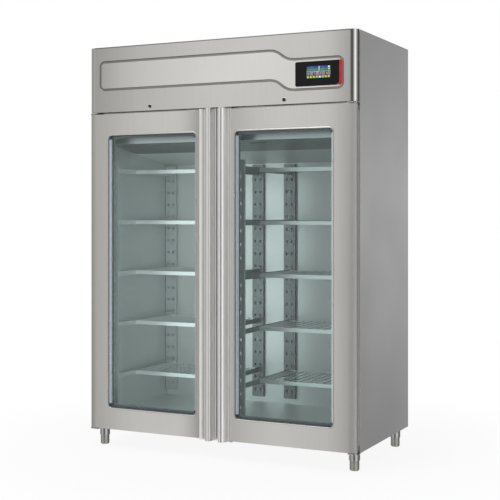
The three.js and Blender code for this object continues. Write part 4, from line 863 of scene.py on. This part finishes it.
# Tone of the studio against the heading in degrees: 0 is before the doors, 90 on the right
WALL_TONES = [
    (-180, 0.80),
    (-120, 0.70),
    (-104, 0.45),
    (-80, 0.45),
    (-62, 0.36),
    (-47, 0.40),
    (-36, 1.05),
    (-21, 1.14),
    (-14, 0.72),
    (-8, 0.20),
    (0, 0.10),
    (14, 0.11),
    (28, 0.25),
    (44, 0.80),
    (57, 1.40),
    (68, 1.20),
    (80, 0.62),
    (96, 0.32),
    (117, 0.16),
    (140, 0.14),
    (155, 0.80),
    (168, 0.90),
    (180, 0.80),
]
WALL_GAIN = 1.4

# Above and below the horizon the studio darkens on the right at the back
DIM_HEADINGS = (math.radians(115), math.radians(145))
DIM_HEIGHT = 0.17
DIM_SHARE = 0.4

# High up the tone is the same all round
OVERHEAD_HEIGHT = (0.25, 0.6)
OVERHEAD_TONE = 0.55


def studio_world():
    """A studio whose tone changes softly with direction, as walls and flags round a set do."""
    world = bpy.data.worlds.new("studio")
    bpy.context.scene.world = world
    world.use_nodes = True
    graph = Graph(world.node_tree)
    x, y, z = graph.axes("Generated")
    heading = graph.math("ARCTAN2", x, graph.math("MULTIPLY", y, -1.0))
    walls = graph.node("ShaderNodeValToRGB")
    walls.color_ramp.interpolation = "EASE"
    set_ramp(walls.color_ramp, [((h + 180) / 360, tone / WALL_GAIN) for h, tone in WALL_TONES])
    graph.feed(walls.inputs["Fac"], graph.spread(heading, 0, 1, -math.pi, math.pi))
    behind = graph.spread(heading, 0, 1, *DIM_HEADINGS)
    away = graph.spread(graph.math("ABSOLUTE", z), 0, DIM_SHARE, 0, DIM_HEIGHT)
    kept = graph.math("SUBTRACT", 1.0, graph.math("MULTIPLY", behind, away))
    around = graph.math("MULTIPLY", graph.math("MULTIPLY", walls.outputs["Color"], WALL_GAIN), kept)
    tone = graph.blended(graph.spread(z, 0, 1, *OVERHEAD_HEIGHT), around, OVERHEAD_TONE)
    backdrop = graph.node("ShaderNodeBackground")
    output = graph.node("ShaderNodeOutputWorld")
    seen = graph.ray("Is Camera Ray", "Is Transmission Ray")
    graph.feed(backdrop.inputs["Color"], graph.blended(seen, tone, 1.0))
    graph.feed(output.inputs["Surface"], backdrop.outputs[0])


def set_ramp(ramp, stops):
    """Places of a colour ramp and their grey tones."""
    for position, _ in stops[2:]:
        ramp.elements.new(position)
    for element, (position, tone) in zip(ramp.elements, stops):
        element.position = position
        element.color = (tone, tone, tone, 1)


FLOOR_RADIUS = 2.4
FLOOR_SIDES = 96
FLOOR_COLORS = ((0.92, 0.92, 0.92), (0.94, 0.94, 0.94))
FLOOR_ROUGHNESS = 0.9

# Between these radii the floor turns from mostly plain white, with some shadow, to all white
FLOOR_FADE = (0.9, 1.9)
FLOOR_GLOW = 0.90


def studio_floor():
    """A round white floor that keeps a faint shadow and fades into the background."""
    form = bmesh.new()
    bmesh.ops.create_circle(form, cap_ends=True, radius=FLOOR_RADIUS, segments=FLOOR_SIDES)
    mesh = bpy.data.meshes.new("studio_floor")
    form.to_mesh(mesh)
    form.free()
    floor = bpy.data.objects.new("studio_floor", mesh)
    bpy.context.scene.collection.objects.link(floor)
    paint = Paint("studio_floor", FLOOR_COLORS[0], FLOOR_ROUGHNESS)
    paint.color(paint.tint(paint.noise(1.5), *FLOOR_COLORS))
    squares = [paint.math("MULTIPLY", place, place) for place in list(paint.axes())[:2]]
    reach = paint.math("SQRT", paint.math("ADD", *squares))
    fade = paint.spread(reach, FLOOR_GLOW, 1.0, *FLOOR_FADE)
    seen = paint.ray("Is Camera Ray", "Is Transmission Ray")
    mixed = paint.node("ShaderNodeMixShader")
    paint.feed(mixed.inputs["Fac"], paint.math("MULTIPLY", fade, seen))
    paint.feed(mixed.inputs[1], paint.shader.outputs[0])
    paint.feed(mixed.inputs[2], paint.node("ShaderNodeEmission").outputs[0])
    paint.surface(mixed.outputs[0])
    floor.data.materials.append(paint.material)
    # Steel mirrors the studio's tones below the horizon as it does above it
    floor.visible_glossy = False


# The key light hangs before the doors, to their left
KEY_PLACE, KEY_AIM = (-1.4, -3.6, 6.4), (0, 0, 1.0)
KEY_SIZE, KEY_POWER = (2.6, 2.0), 130

# The light in the room comes from just behind the doors, and is stronger on the left
ROOM_LIGHT_Y, ROOM_LIGHT_Z = -0.325, 0.92
ROOM_LIGHT_SIZE = (0.5, 1.3)
ROOM_LIGHT_POWERS = ((-1, 1.15), (1, 0.15))


def softbox(name, place, aim, size, power):
    """A rectangular lamp at a place, aimed at a point."""
    light = bpy.data.lights.new(name, "AREA")
    light.shape = "RECTANGLE"
    light.size, light.size_y = size
    light.energy = power
    lamp = bpy.data.objects.new(name, light)
    lamp.location = place
    lamp.rotation_mode = "QUATERNION"
    lamp.rotation_quaternion = (Vector(aim) - Vector(place)).to_track_quat("-Z", "Y")
    lamp.visible_camera = False
    bpy.context.scene.collection.objects.link(lamp)


def photo_camera():
    lens = bpy.data.cameras.new("photo_camera")
    lens.lens = CAMERA_LENS
    lens.sensor_width = CAMERA_SENSOR
    lens.shift_y = CAMERA_SHIFT
    lens.dof.use_dof = False
    camera = bpy.data.objects.new("photo_camera", lens)
    camera.location = CAMERA_PLACE
    camera.rotation_euler = (math.radians(90), 0, math.radians(CAMERA_HEADING))
    bpy.context.scene.collection.objects.link(camera)
    bpy.context.scene.camera = camera


photo_camera()
studio_world()
studio_floor()
softbox("key_light", KEY_PLACE, KEY_AIM, KEY_SIZE, KEY_POWER)
for sign, power in ROOM_LIGHT_POWERS:
    middle = sign * (WINDOW_INNER + WINDOW_OUTER) / 2
    lamp_place = (middle, ROOM_LIGHT_Y, ROOM_LIGHT_Z)
    softbox("room_light", lamp_place, (middle, 0, ROOM_LIGHT_Z), ROOM_LIGHT_SIZE, power)
bpy.context.scene.view_settings.view_transform = "Standard"
